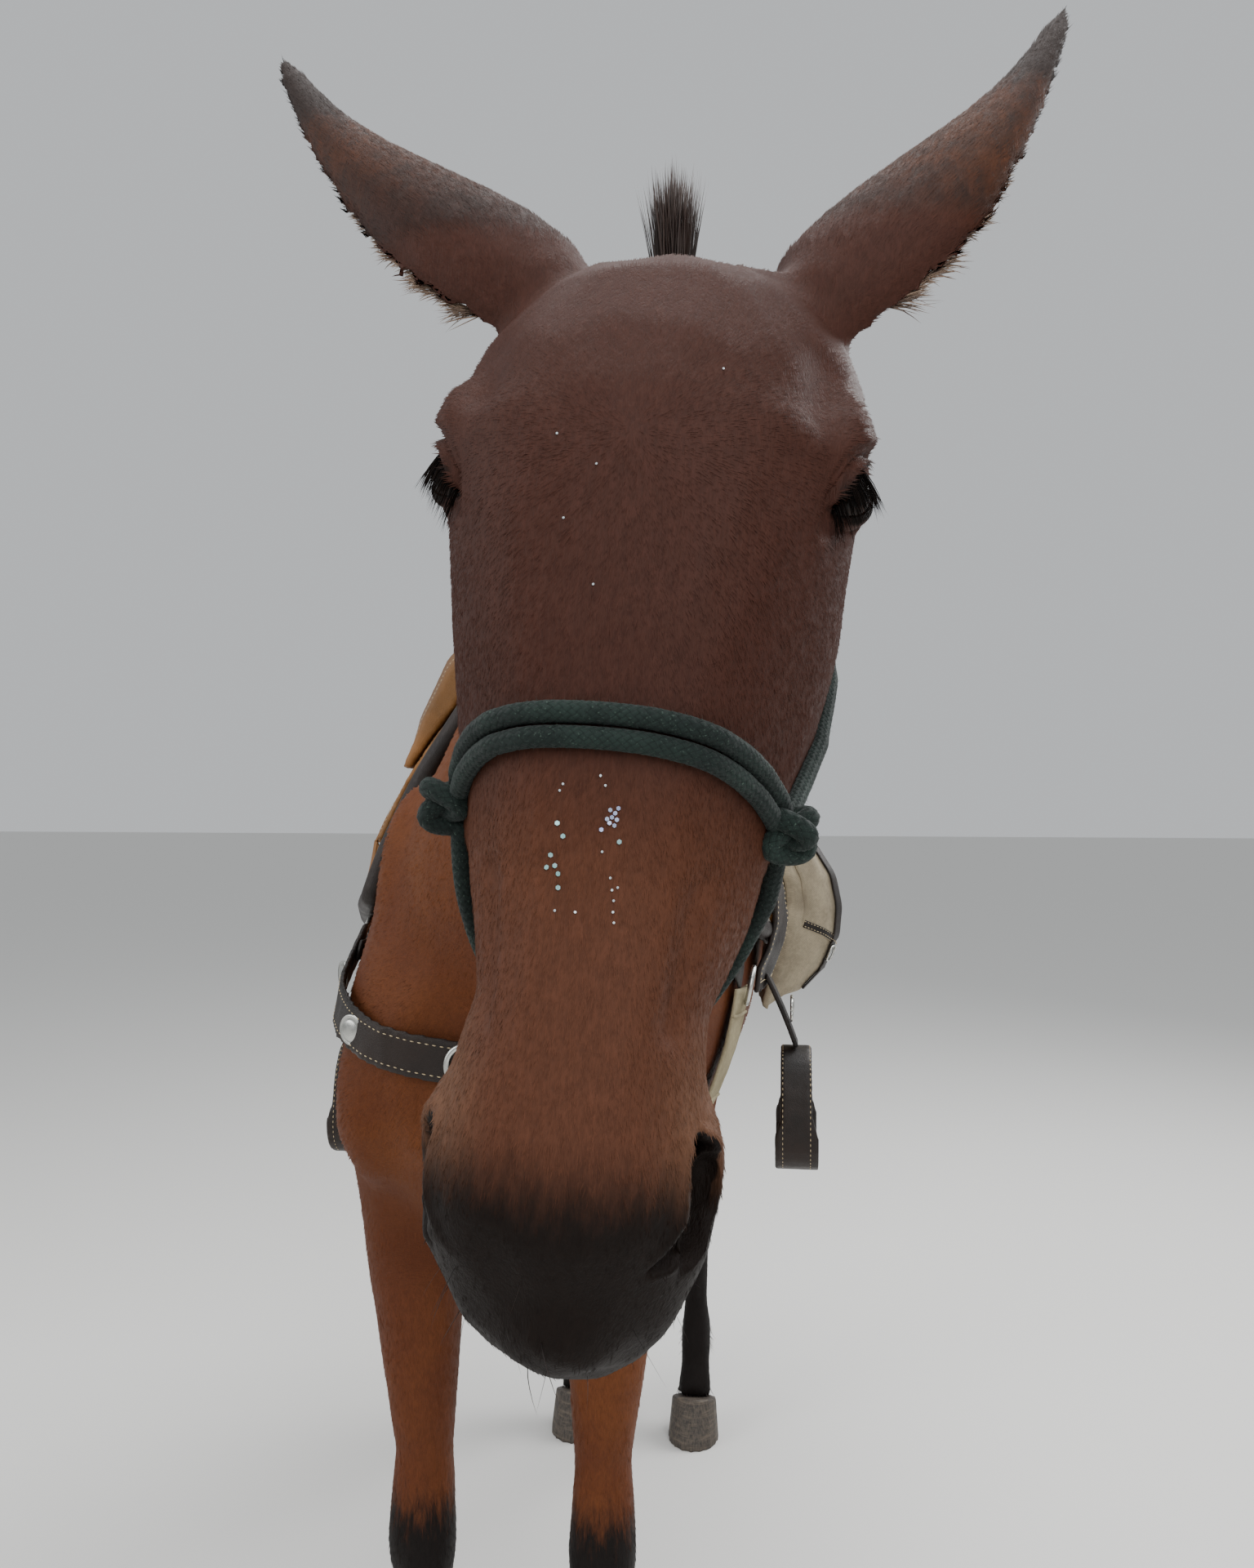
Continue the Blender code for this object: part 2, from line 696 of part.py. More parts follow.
def cut_eyes(head):
    eyes = []
    for side, word in ((-1, "right"), (1, "left")):
        centre = head_point(side * EYE_CENTRE[0], EYE_CENTRE[1], EYE_CENTRE[2])
        outward, long_axis, short_axis = eye_axes(side)
        turn = Matrix((long_axis, short_axis, outward)).transposed()
        opening = prism("opening", centre + outward * (EYE_RADIUS - 0.004), long_axis, short_axis,
                        -outward, rounded_outline(0.0165, 0.0098, 0.0), 0.03, 0.004, 1.0)
        ball = ellipsoid("eye_" + word, centre, (EYE_RADIUS,) * 3, turn, 14, 8)
        socket = ellipsoid("socket", centre, (EYE_RADIUS + GAP,) * 3, turn, 14, 8)
        join_pieces(socket, [opening])
        boolean(head, socket, "DIFFERENCE")
        finish_object(ball, "eye")
        eyes.append(ball)
    keep_largest(head)
    return eyes


def cut_nostrils(head):
    for side in (-1, 1):
        origin = head_point(side * 0.060, 0.462, -0.058)
        inward = head_vector(-side * 0.75, -0.42, -0.50)
        along = head_vector(-side * 0.30, 0.95, 0.10)
        along = (along - inward * along.dot(inward)).normalized()
        across = inward.cross(along) * side
        outline = rounded_outline(0.030, 0.0085, 0.010)
        boolean(head, prism("nostril", origin, along, across, inward, outline, 0.03, 0.020, 0.55),
                "DIFFERENCE")
    keep_largest(head)


def tube(name, points, radius, sides=8, kind=None):
    rings = []
    for centre, tangent, side, rise in path_frames(points):
        ring = []
        for index in range(sides):
            angle = 2 * math.pi * index / sides
            ring.append(centre + side * (radius * math.cos(angle)) + rise * (radius * math.sin(angle)))
        rings.append(ring)
    return loft(name, rings, kind)


def cast(tree, origin, target, lift):
    # The point where a ray from origin to target meets the surface, lifted off it
    direction = (target - origin).normalized()
    hit, normal, _, _ = tree.ray_cast(origin, direction)
    return hit + normal * lift


def relaxed(points, rounds=2, closed=False):
    points = [Vector(point) for point in points]
    for _ in range(rounds):
        fresh = list(points)
        span = range(len(points)) if closed else range(1, len(points) - 1)
        for i in span:
            fresh[i] = (points[i - 1] + points[i] * 2 + points[(i + 1) % len(points)]) / 4
        points = fresh
    return points


def cut_mouth(head):
    tree = surface_tree([head])
    points = []
    for angle in np.linspace(-118, 118, 23):
        turn = math.radians(angle)
        reach = abs(angle) / 118
        aim = head_point(0.0, 0.478, -0.100)
        origin = head_point(0.2 * math.sin(turn), 0.478 + 0.2 * math.cos(turn), -0.105 + 0.012 * reach)
        points.append(cast(tree, origin, aim, 0.0005))
    boolean(head, tube("mouth_line", relaxed(points, 1), 0.0032, 6), "DIFFERENCE")
    keep_largest(head)


def ear(side, word):
    up = head_vector(0.0, -1.0, 0.0)
    out = head_vector(side, 0.0, 0.0)
    back = head_vector(0.0, 0.0, -1.0)
    spread = math.radians(EAR_SPREAD[word])
    sweep = math.radians(EAR_SWEEP[word])
    axis = ((up * math.cos(spread) + out * math.sin(spread)) * math.cos(sweep)
            + back * math.sin(sweep)).normalized()
    turn = math.radians(EAR_TURN)
    under = (out * math.cos(spread) - up * math.sin(spread)).normalized()
    opening = (back * math.cos(turn) + under * math.sin(turn))
    opening = (opening - axis * opening.dot(axis)).normalized()
    width_axis = axis.cross(opening).normalized()
    if width_axis.dot(under) < 0:
        width_axis = -width_axis
    base = head_point(side * EAR_BASE[0], EAR_BASE[1], EAR_BASE[2])
    keys = (-0.12, 0.0, 0.10, 0.25, 0.40, 0.55, 0.70, 0.85, 0.95, 1.0)
    half_widths = (0.028, 0.040, 0.047, 0.0455, 0.0355, 0.0250, 0.0168, 0.0110, 0.0074, 0.0035)
    depths = (0.026, 0.034, 0.036, 0.034, 0.029, 0.022, 0.0155, 0.0100, 0.0060, 0.003)
    hollows = (0.10, 0.25, 0.75, 0.86, 0.84, 0.78, 0.70, 0.60, 0.40, 0.20)
    rings = []
    for t in np.linspace(keys[0], keys[-1], 13):
        width = smooth_curve(keys, half_widths, t)
        depth = smooth_curve(keys, depths, t)
        hollow = smooth_curve(keys, hollows, t)
        bow = EAR_BOW * math.sin(math.pi * max(t, 0.0)**1.15) + EAR_DROP * (1 - t)
        centre = base + axis * (t * EAR_LENGTH) + width_axis * bow
        ring = []
        for step in range(9):
            turn = math.pi * (step / 8 - 0.5)
            ring.append(centre + width_axis * (width * math.sin(turn))
                        - opening * (depth * math.cos(turn)))
        inner_width = width - min(EAR_WALL, width * 0.4)
        for step in range(7):
            turn = math.pi * (0.5 - (step + 0.5) / 7) * 0.96
            ring.append(centre + width_axis * (inner_width * math.sin(turn))
                        - opening * ((depth - min(EAR_WALL, depth * 0.5)) * hollow * math.cos(turn)))
        rings.append(ring)
    return loft("ear_" + word, rings)


def lock(name, points, width, thickness, side_axis, sides=4):
    # Flat strand with pointed ends that follows its points
    rings = []
    frames = path_frames(points)
    last = len(frames) - 1
    for index, (centre, tangent, _, _) in enumerate(frames):
        across = (side_axis - tangent * side_axis.dot(tangent)).normalized()
        flat = tangent.cross(across)
        t = index / last
        fill = (0.75 + 0.5 * math.sin(math.pi * min(t * 1.6, 1.0))) * (1 - t**2.2) + 0.06
        ring = []
        for k in range(sides):
            angle = 2 * math.pi * k / sides
            ring.append(centre + across * (width / 2 * fill * math.cos(angle))
                        + flat * (thickness / 2 * max(fill, 0.14) * math.sin(angle)))
        rings.append(ring)
    return loft(name, rings)


def dock_core():
    keys = np.linspace(0, 1, len(DOCK_PATH))
    points = [tuple(smooth_curve(keys, DOCK_PATH, t)) for t in np.linspace(0, 1, 12)]
    rings = []
    for t, (centre, tangent, side, rise) in zip(np.linspace(0, 1, 12), path_frames(points)):
        radius = smooth_curve(keys, DOCK_RADII, t)
        rings.append([centre + side * (radius * math.cos(a)) + rise * (radius * math.sin(a))
                      for a in (2 * math.pi * k / 12 for k in range(12))])
    return loft("tail", rings)


def tail_locks(core):
    # Overlapping falls of hair that spring from the dock and close to loose points
    chance = random.Random(7)
    keys = np.linspace(0, 1, len(DOCK_PATH))
    heights = [-height for height, _ in TAIL_SPREAD]
    spreads = [spread for _, spread in TAIL_SPREAD]
    pieces = []
    for index in range(TAIL_LOCKS):
        place = 0.12 + 0.84 * index / (TAIL_LOCKS - 1)
        root = Vector(smooth_curve(keys, DOCK_PATH, place))
        radius = smooth_curve(keys, DOCK_RADII, place)
        turn = 2.39996 * index + chance.uniform(-0.3, 0.3)
        tip = TAIL_TIP_HEIGHT + TAIL_TIP_RANGE * chance.random()**2.2
        within = chance.uniform(0.45, 1.0)
        points = [root + Vector((math.cos(turn), math.sin(turn), 0.0)) * (radius * 0.45)]
        for step in range(1, 5):
            height = root.z - (root.z - tip) * (step / 4)**0.9
            turn += chance.uniform(-0.16, 0.16)
            spread = smooth_curve(heights, spreads, -height) * within
            spread = max(spread, radius * 1.05 * (1 - step / 4))
            centre_y = root.y + (TAIL_CENTRE_Y - root.y) * min(step / 2, 1.0)
            points.append(Vector((spread * math.cos(turn), centre_y + 0.8 * spread * math.sin(turn),
                                  height)))
        flat = turn + math.pi / 2 + chance.uniform(-0.5, 0.5)
        pieces.append(lock("lock", points, chance.uniform(0.044, 0.060), chance.uniform(0.014, 0.018),
                           Vector((math.cos(flat), math.sin(flat), 0.0))))
    join_pieces(core, pieces)


def tuft_locks(head):
    # Short upright locks between the ears that flare towards their tips
    chance = random.Random(3)
    base = head_point(-0.003, -0.005, -0.120)
    pieces = []
    for index in range(TUFT_LOCKS):
        turn = 2 * math.pi * index / TUFT_LOCKS
        around = Vector((math.cos(turn), 0.7 * math.sin(turn), 0.0))
        height = TUFT_HEIGHT * chance.uniform(0.86, 1.0)
        points = [base + around * 0.004 - Vector((0, 0, 0.03)), base + around * 0.005,
                  base + around * 0.006 + Vector((0, 0, height * 0.45)),
                  base + around * 0.014 + Vector((0, 0, height))]
        pieces.append(lock("lock", points, 0.013, 0.009, Vector((-math.sin(turn), math.cos(turn), 0))))
    join_pieces(head, pieces)


def crest_points(count, start, stop):
    keys = np.linspace(0, 1, len(NECK_CENTRES))
    stations = []
    for t in np.linspace(start, stop, count):
        centre = smooth_curve(keys, NECK_CENTRES, t)
        depth = smooth_curve(keys, NECK_HALF_DEPTH, t)
        stations.append((tuple(centre), depth))
    frames = path_frames([centre for centre, _ in stations])
    return [(centre + rise * depth, tangent, side, rise)
            for (centre, tangent, side, rise), (_, depth) in zip(frames, stations)]


def mane_locks(neck):
    # Clipped upright mane: short flat locks side by side along the crest
    chance = random.Random(5)
    pieces = []
    for centre, tangent, side, rise in crest_points(MANE_LOCKS, 0.20, 0.82):
        height = MANE_HEIGHT * chance.uniform(0.88, 1.08)
        lean = side * chance.uniform(-0.005, 0.005) + tangent * chance.uniform(-0.004, 0.006)
        points = [centre - rise * MANE_ROOT, centre + rise * (height * 0.3),
                  centre + rise * (height * 0.72) + lean * 0.5, centre + rise * height + lean]
        pieces.append(lock("lock", points, chance.uniform(0.040, 0.048), 0.013, tangent))
    join_pieces(neck, pieces)


def settled(points, tree, distance):
    # Eases the points of a rope and keeps each one its distance off the surface
    eased = relaxed(points, 2)
    for _ in range(3):
        for index, point in enumerate(eased):
            nearest = tree.find_nearest(point)[0]
            away = point - nearest
            if away.length < distance:
                eased[index] = nearest + away.normalized() * distance
    return eased


def rope(name, points, tree):
    return tube(name, settled(points, tree, ROPE_RADIUS + ROPE_LIFT), ROPE_RADIUS, ROPE_SIDES, "rope")


def around_head(tree, angles, along_top, along_side, depth_centre, lift):
    # Points round the muzzle in a tilted plane: 0 degrees is the face, 90 the left side
    points = []
    for angle in angles:
        turn = math.radians(angle)
        along = along_side + (along_top - along_side) * max(math.cos(turn), -0.4)
        aim = head_point(0.0, along, depth_centre)
        origin = head_point(0.3 * math.sin(turn), along, depth_centre + 0.3 * math.cos(turn))
        points.append(cast(tree, origin, aim, lift))
    return points


def along_side(tree, side, stops, lift):
    # Points on one cheek, given as (along the face, above the face line)
    keys = np.linspace(0, 1, len(stops))
    points = []
    for t in np.linspace(0, 1, 3 * len(stops)):
        along, above = smooth_curve(keys, stops, t)
        origin = head_point(side * 0.3, along, above)
        aim = head_point(0.0, along, above)
        points.append(cast(tree, origin, aim, lift))
    return points


def ring_rays(centre, first, second, angles):
    # Rays towards a point of the head, in the plane of two head directions
    aim = head_point(*centre)
    rays = []
    for angle in angles:
        turn = math.radians(angle)
        offset = [0.3 * (math.sin(turn) * f + math.cos(turn) * g) for f, g in zip(first, second)]
        rays.append((head_point(*(c + o for c, o in zip(centre, offset))), aim))
    return rays


def halter(head, neck):
    skin = surface_tree([head, neck])
    lift = ROPE_RADIUS + ROPE_LIFT
    ropes = []
    band_angles = np.linspace(-84, 84, 19)
    upper = rope("noseband_upper", around_head(skin, band_angles, NOSEBAND_TOP, NOSEBAND_SIDE,
                                               -0.09, lift), skin)
    shift = 2 * ROPE_RADIUS + ROPE_LIFT
    both = surface_tree([head, upper])
    lower = rope("noseband_lower", around_head(skin, band_angles, NOSEBAND_TOP + shift,
                                               NOSEBAND_SIDE + shift, -0.09, lift), both)
    ropes += [upper, lower]
    crown = [cast(skin, origin, aim, lift) for origin, aim in
             ring_rays(CROWN_CENTRE, (1, 0, 0), (0, -1, 0), np.linspace(-108, 108, 19))]
    ropes.append(rope("crown_rope", crown, skin))
    throat = [cast(skin, origin, aim, lift) for origin, aim in
              ring_rays(THROAT_CENTRE, (1, 0, 0), (0, 0.55, -0.83), np.linspace(-88, 88, 17))]
    ropes.append(rope("throat_rope", throat, skin))
    knots = []
    spots = [("chin_knot", (0.0, 0.430, -0.40), (0.0, 0.430, -0.10), 0.012)]
    for side, word in ((-1, "right"), (1, "left")):
        spots.append(("nose_knot_" + word, (side * 0.3, *NOSE_KNOT), (0.0, *NOSE_KNOT), KNOT_RADIUS))
        spots.append(("cheek_knot_" + word, (side * 0.3, *CHEEK_KNOT), (0.0, *CHEEK_KNOT), 0.010))
        up = along_side(skin, side, CHEEK_ROUTE, lift)
        ropes.append(rope("cheek_rope_" + word, up, skin))
        down = along_side(skin, side, CHIN_ROUTE, lift)
        ropes.append(rope("chin_rope_" + word, down, skin))
    for name, origin, aim, radius in spots:
        place = cast(skin, head_point(*origin), head_point(*aim), radius * 0.7)
        knot = ellipsoid(name, place, [radius * size for size in (0.9, 1.05, 1.25)],
                         HEAD_FRAME.to_3x3(), 10, 6)
        fit_against(knot, [head, neck])
        finish_object(knot, "rope")
        knots.append(knot)
    for piece in ropes:
        fit_against(piece, knots + [head, neck])
        finish_object(piece, "rope")


def barrel_ray(y, angle, centre_z=1.16):
    # A ray towards the middle of the barrel: 0 degrees is straight up, 90 the left side
    turn = math.radians(angle)
    aim = Vector((0.0, y, centre_z))
    return aim + Vector((math.sin(turn), 0.0, math.cos(turn))), aim


def collar_ray(height, angle):
    # A level ray towards the middle of the chest: 0 degrees is the front, 90 the left side
    turn = math.radians(angle)
    aim = Vector((0.0, COLLAR_CENTRE_Y, height))
    return aim + Vector((math.sin(turn), -math.cos(turn), 0.0)), aim


def reach(tree, ray, row, column, slack):
    # Distance of the outermost surface near a ray, so a stiff piece bridges small steps
    best = 2.0
    for drow, dcolumn in ((0, 0), (slack[0], 0), (-slack[0], 0), (0, slack[1]), (0, -slack[1])):
        origin, aim = ray(row + drow, column + dcolumn)
        hit = tree.ray_cast(origin, (aim - origin).normalized())
        if hit[0]:
            best = min(best, hit[3])
        if not any(slack):
            break
    return best


def blanket(name, ray, rows, columns, tree, lift, thickness, kind, slack=(0, 0)):
    # Closed shell laid on a surface; rows may give their own columns
    bm = bmesh.new()
    grids = ([], [])
    for r, row in enumerate(rows):
        lines = ([], [])
        for c, column in enumerate(columns(row) if callable(columns) else columns):
            origin, aim = ray(row, column)
            direction = (aim - origin).normalized()
            distance = reach(tree, ray, row, column, slack) - lift
            deep = thickness(row, c) if callable(thickness) else thickness
            lines[0].append(bm.verts.new(origin + direction * distance))
            lines[1].append(bm.verts.new(origin + direction * (distance - deep)))
        grids[0].append(lines[0])
        grids[1].append(lines[1])
    count_r, count_c = len(grids[0]), len(grids[0][0])
    for r in range(count_r - 1):
        for c in range(count_c - 1):
            for grid in grids:
                bm.faces.new((grid[r][c], grid[r][c + 1], grid[r + 1][c + 1], grid[r + 1][c]))
    border = [(0, c) for c in range(count_c)] + [(r, count_c - 1) for r in range(1, count_r)]
    border += [(count_r - 1, c) for c in range(count_c - 2, -1, -1)]
    border += [(r, 0) for r in range(count_r - 2, 0, -1)]
    for (r0, c0), (r1, c1) in zip(border, border[1:] + border[:1]):
        bm.faces.new((grids[0][r0][c0], grids[0][r1][c1], grids[1][r1][c1], grids[1][r0][c0]))
    return add_object(name, bm, kind)


def pad_columns(first, last):
    # Every layer on the back shares the pad's grid, so the layers lie flat on one another
    def columns(y):
        span = smooth_curve((0.095, 0.25, 0.45, 0.86), (86.0, 96.0, 104.0, 104.0), y)
        return [span * step / PAD_STEPS for step in range(first, last + 1)]
    return columns


def seat_depth(y, column):
    side = abs(column - 4) / 4
    rise = smooth_curve((0.19, 0.24, 0.31, 0.42, 0.54, 0.62, 0.67),
                        (0.044, 0.092, 0.070, 0.042, 0.050, 0.100, 0.086), y)
    return max(rise * (1 - side**1.7), 0.010)


def bag_depth(y, column):
    along = (y - BAG_ROWS[0]) / (BAG_ROWS[1] - BAG_ROWS[0]) * 2 - 1
    down = column / 3.5 - 1
    return 0.018 + 0.080 * max(1 - abs(along)**3, 0.0) * max(1 - abs(down)**3, 0.0)**0.8


def saddlery(torso, neck, legs):
    pad_rows = np.linspace(0.095, 0.86, 8)
    tree = surface_tree([torso, neck] + list(legs.values()))
    pad = blanket("saddle_pad", barrel_ray, pad_rows, pad_columns(-8, 8), tree, 0.005,
                  PAD_THICKNESS, "felt")
    fit_against(pad, [torso, neck])
    finish_object(pad, "felt")
    tree = surface_tree([pad])
    skirts = blanket("saddle_skirts", barrel_ray, pad_rows[1:7], pad_columns(-6, 6), tree,
                     0.0012, SKIRT_THICKNESS, "tan_leather")
    tree = surface_tree([skirts])
    seat = blanket("saddle_seat", barrel_ray, np.linspace(pad_rows[1], pad_rows[5], 10),
                   pad_columns(-4, 4), tree, 0.0035, seat_depth, "tan_leather")
    top = surface_tree([seat]).ray_cast(Vector((0, 0.238, 2.0)), Vector((0, 0, -1)))[0]
    rings = []
    for rise, radius, lean in ((-0.010, 0.030, 0.0), (0.030, 0.020, -0.008), (0.062, 0.019, -0.018),
                               (0.070, 0.036, -0.022), (0.082, 0.036, -0.026)):
        rings.append([Vector((radius * math.cos(a), top.y + lean + radius * math.sin(a), top.z + rise))
                      for a in (2 * math.pi * k / 16 for k in range(16))])
    horn = loft("saddle_horn", rings)
    fit_against(horn, [seat], "EXACT")
    finish_object(horn, "dark_leather")
    under = surface_tree([torso, pad, skirts])
    for side, word in ((-1, "right"), (1, "left")):
        def turned(y, angle):
            return barrel_ray(y, side * angle)
        fender = blanket("fender_" + word, turned, np.linspace(0.335, 0.485, 4),
                         np.linspace(64, 116, 9), under, 0.002, 0.007, "dark_leather", (0.03, 7))
        bag = blanket("saddlebag_" + word, turned, np.linspace(*BAG_ROWS, 8),
                      np.linspace(72, 126, 8), under, 0.002, bag_depth, "canvas", (0.02, 7))
        hanger(side, word, under, fender, stirrup(side, word))
        ring = rigging(side, word, surface_tree([torso, pad, skirts]))
        for piece, kind in ((fender, "dark_leather"), (bag, "canvas"), (ring, "steel")):
            fit_against(piece, [torso, pad, skirts])
            finish_object(piece, kind)
    yoke = blanket("saddlebag_yoke", barrel_ray, (0.715, 0.765, 0.815), np.linspace(-61, 61, 11),
                   under, 0.002, 0.006, "canvas", (0.03, 5))
    fit_against(yoke, [torso, pad, skirts])
    finish_object(yoke, "canvas")
    belly = surface_tree([torso])
    blanket("cinch", barrel_ray, (0.215, 0.255, 0.295), np.linspace(112, 248, 19), belly,
            0.002, 0.007, "canvas", (0.01, 3))
    collar = surface_tree([torso, neck] + list(legs.values()))

    def collar_band(shift, angle):
        reach_side = min(abs(angle) / 70, 1.0)
        return collar_ray(1.045 + shift + 0.090 * reach_side**1.3, angle)

    blanket("breast_collar", collar_band, (-0.022, 0.022), np.linspace(-72, 72, 27), collar,
            0.003, STRAP_THICKNESS, "dark_leather", (0.01, 3))


def hanger(side, word, tree, fender, frame):
    # Strap from under the fender down round the top bar of the stirrup
    origin, aim = barrel_ray(STIRRUP_Y, side * 112)
    top = cast(tree, origin, aim, 0.014)
    bar = Vector((side * STIRRUP_X, STIRRUP_Y, STIRRUP_Z + STIRRUP_HALF_HEIGHT + 0.0065))
    bow = (top + bar) / 2 + Vector((side * 0.004, 0, 0))
    rings = []
    for t in (0.0, 0.25, 0.5, 0.75, 1.0):
        place = top * (1 - t)**2 + bow * (2 * t * (1 - t)) + bar * t**2
        rings.append([place + Vector((0.0035 * u, HANGER_HALF_WIDTH * v, 0))
                      for u, v in ((-1, -1), (1, -1), (1, 1), (-1, 1))])
    strap = loft("stirrup_leather_" + word, rings)
    fit_against(strap, [frame, fender])
    finish_object(strap, "dark_leather")


def stirrup(side, word):
    # Leather-bound frame with a flat tread, hanging flat beside the girth
    centre = Vector((side * STIRRUP_X, STIRRUP_Y, STIRRUP_Z))
    rings = []
    for k in range(28):
        turn = 2 * math.pi * k / 28
        squareness = 0.72
        y = math.copysign(abs(math.cos(turn))**squareness, math.cos(turn)) * STIRRUP_HALF_LENGTH
        z = math.copysign(abs(math.sin(turn))**squareness, math.sin(turn)) * STIRRUP_HALF_HEIGHT
        taper = 1.0 - 0.22 * (z / STIRRUP_HALF_HEIGHT)
        out = Vector((0.0, math.cos(turn), math.sin(turn)))
        width = 0.030 if z < 0 else 0.022
        place = centre + Vector((0.0, y * taper, z))
        rings.append([place + Vector((width * u, 0, 0)) + out * (0.006 * v)
                      for u, v in ((-1, -0.7), (1, -0.7), (1, 0.7), (-1, 0.7))])
    bm = bmesh.new()
    loops = [[bm.verts.new(point) for point in ring] for ring in rings]
    for first, second in zip(loops, loops[1:] + loops[:1]):
        for k in range(4):
            bm.faces.new((first[k], first[(k + 1) % 4], second[(k + 1) % 4], second[k]))
    return add_object("stirrup_" + word, bm, "dark_leather")


def rigging(side, word, tree):
    # Metal ring below the skirt that the cinch strap and the breast collar meet at
    origin, aim = barrel_ray(0.165, side * 100)
    place = cast(tree, origin, aim, 0.006)
    normal = (origin - aim).normalized()
    along = Vector((0, 1, 0))
    up = normal.cross(along).normalized()
    bm = bmesh.new()
    loops = []
    for k in range(16):
        turn = 2 * math.pi * k / 16
        out = along * math.cos(turn) + up * math.sin(turn)
        loop = []
        for step in range(6):
            bend = 2 * math.pi * step / 6
            distance = RING_RADIUS + RING_WIRE * math.cos(bend)
            loop.append(bm.verts.new(place + out * distance + normal * (RING_WIRE * math.sin(bend))))
        loops.append(loop)
    for first, second in zip(loops, loops[1:] + loops[:1]):
        for k in range(6):
            bm.faces.new((first[k], first[(k + 1) % 6], second[(k + 1) % 6], second[k]))
    return add_object("rigging_ring_" + word, bm, "steel")


def centre_on_ground(objects):
    low = [min((item.matrix_world @ v.co)[i] for item in objects for v in item.data.vertices)
           for i in range(3)]
    high = [max((item.matrix_world @ v.co)[i] for item in objects for v in item.data.vertices)
            for i in range(3)]
    shift = Vector((-(low[0] + high[0]) / 2, -(low[1] + high[1]) / 2, -low[2]))
    for item in objects:
        item.data.transform(Matrix.Translation(shift))
        item.data.update()


def main():
    clear_scene()
    forms = body_forms()
    head_forms = [head_loft(), neck_loft()] + head_lumps()
    body = remesh(forms, "torso", BODY_VOXEL, 6, BODY_TRIANGLES)
    head = remesh(head_forms, "head", HEAD_VOXEL, 5, HEAD_TRIANGLES)
    for form in forms + head_forms:
        bpy.data.objects.remove(form)
    part_head(head, body)
    legs = part_legs(body)
    neck = part_neck(body)
    for label, track, y in (("fore", FORE_HALF_TRACK, -0.036), ("hind", HIND_HALF_TRACK, 1.138)):
        for side, word in ((-1, "right"), (1, "left")):
            hoof("hoof_%s_%s" % (label, word), legs["%sleg_%s" % (label, word)], side, track, y)
    ears = [ear(side, word) for side, word in ((-1, "right"), (1, "left"))]
    for item in ears:
        fit_against(item, [head, neck], "EXACT")
    cut_eyes(head)
    cut_nostrils(head)
    cut_mouth(head)
    halter(head, neck)
    saddlery(body, neck, legs)
    tail = dock_core()
    tail_locks(tail)
    fit_against(tail, [body])
    mane_locks(neck)
    tuft_locks(head)
    for item in [body, head, neck, tail] + ears + list(legs.values()):
        finish_object(item, "hair" if item is tail else "coat")
    centre_on_ground([item for item in bpy.data.objects if item.type == "MESH"])


main()
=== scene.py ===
import math
from functools import partial

import bmesh
import bpy
import numpy as np
from mathutils import Matrix, Vector
from mathutils.bvhtree import BVHTree


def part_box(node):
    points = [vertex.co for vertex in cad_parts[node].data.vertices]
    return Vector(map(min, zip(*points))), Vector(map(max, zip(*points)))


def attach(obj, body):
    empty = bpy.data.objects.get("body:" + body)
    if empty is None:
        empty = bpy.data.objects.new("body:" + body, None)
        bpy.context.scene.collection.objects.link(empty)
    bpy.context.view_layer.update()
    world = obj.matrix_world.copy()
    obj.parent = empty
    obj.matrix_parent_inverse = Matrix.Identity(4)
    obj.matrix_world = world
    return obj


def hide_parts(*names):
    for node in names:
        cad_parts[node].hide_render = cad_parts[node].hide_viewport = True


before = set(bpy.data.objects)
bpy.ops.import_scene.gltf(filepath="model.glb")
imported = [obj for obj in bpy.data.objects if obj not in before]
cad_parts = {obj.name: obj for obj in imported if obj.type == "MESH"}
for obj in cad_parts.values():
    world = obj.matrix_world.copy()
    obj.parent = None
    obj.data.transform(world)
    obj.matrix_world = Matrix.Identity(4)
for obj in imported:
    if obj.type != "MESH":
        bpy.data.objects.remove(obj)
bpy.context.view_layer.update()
print("frame loaded")

# The stance frame: ground midway between the fore hooves, nose towards -Y, left side +X
stance = {
    "foreHalfTrack": 0.104,
    "soleFront": 0.12,
    "poll": (0.2518, -0.802, 1.6),
    "headPitch": 9.5,
    "headRoll": 4.6,
}


def stanceShift():
    low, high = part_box("hoof_fore_left")
    return Vector(((low.x + high.x) / 2 - stance["foreHalfTrack"], low.y + stance["soleFront"], 0.0))


shift = stanceShift()


def headMatrix():  # columns: lateral (left), down the face from the poll, out of the face
    pitch = math.radians(stance["headPitch"])
    along = Vector((0.0, -math.sin(pitch), -math.cos(pitch)))
    above = Vector((0.0, -math.cos(pitch), math.sin(pitch)))
    axes = Matrix(((1.0, along.x, above.x), (0.0, along.y, above.y), (0.0, along.z, above.z)))
    roll = Matrix.Rotation(math.radians(stance["headRoll"]), 3, "Y")
    return Matrix.Translation(Vector(stance["poll"]) + shift) @ (roll @ axes).to_4x4()


headFrame = headMatrix()
headTurn = np.array(headFrame.to_3x3())
headOrigin = np.array(headFrame.translation)


def headPoint(lateral, along, above):
    return headFrame @ Vector((lateral, along, above))


def headDirection(lateral, along, above):
    return (headFrame.to_3x3() @ Vector((lateral, along, above))).normalized()


def toHead(points):
    return (points - headOrigin) @ headTurn


def foldHead(local):  # both halves of the head on its left side
    return np.column_stack((np.abs(local[:, 0]), local[:, 1:]))


def inStance(points):  # metres from the ground between the fore hooves
    return points - np.array(shift)


def normalise(vectors):
    return vectors / (np.linalg.norm(vectors, axis=-1, keepdims=True) + 1e-12)


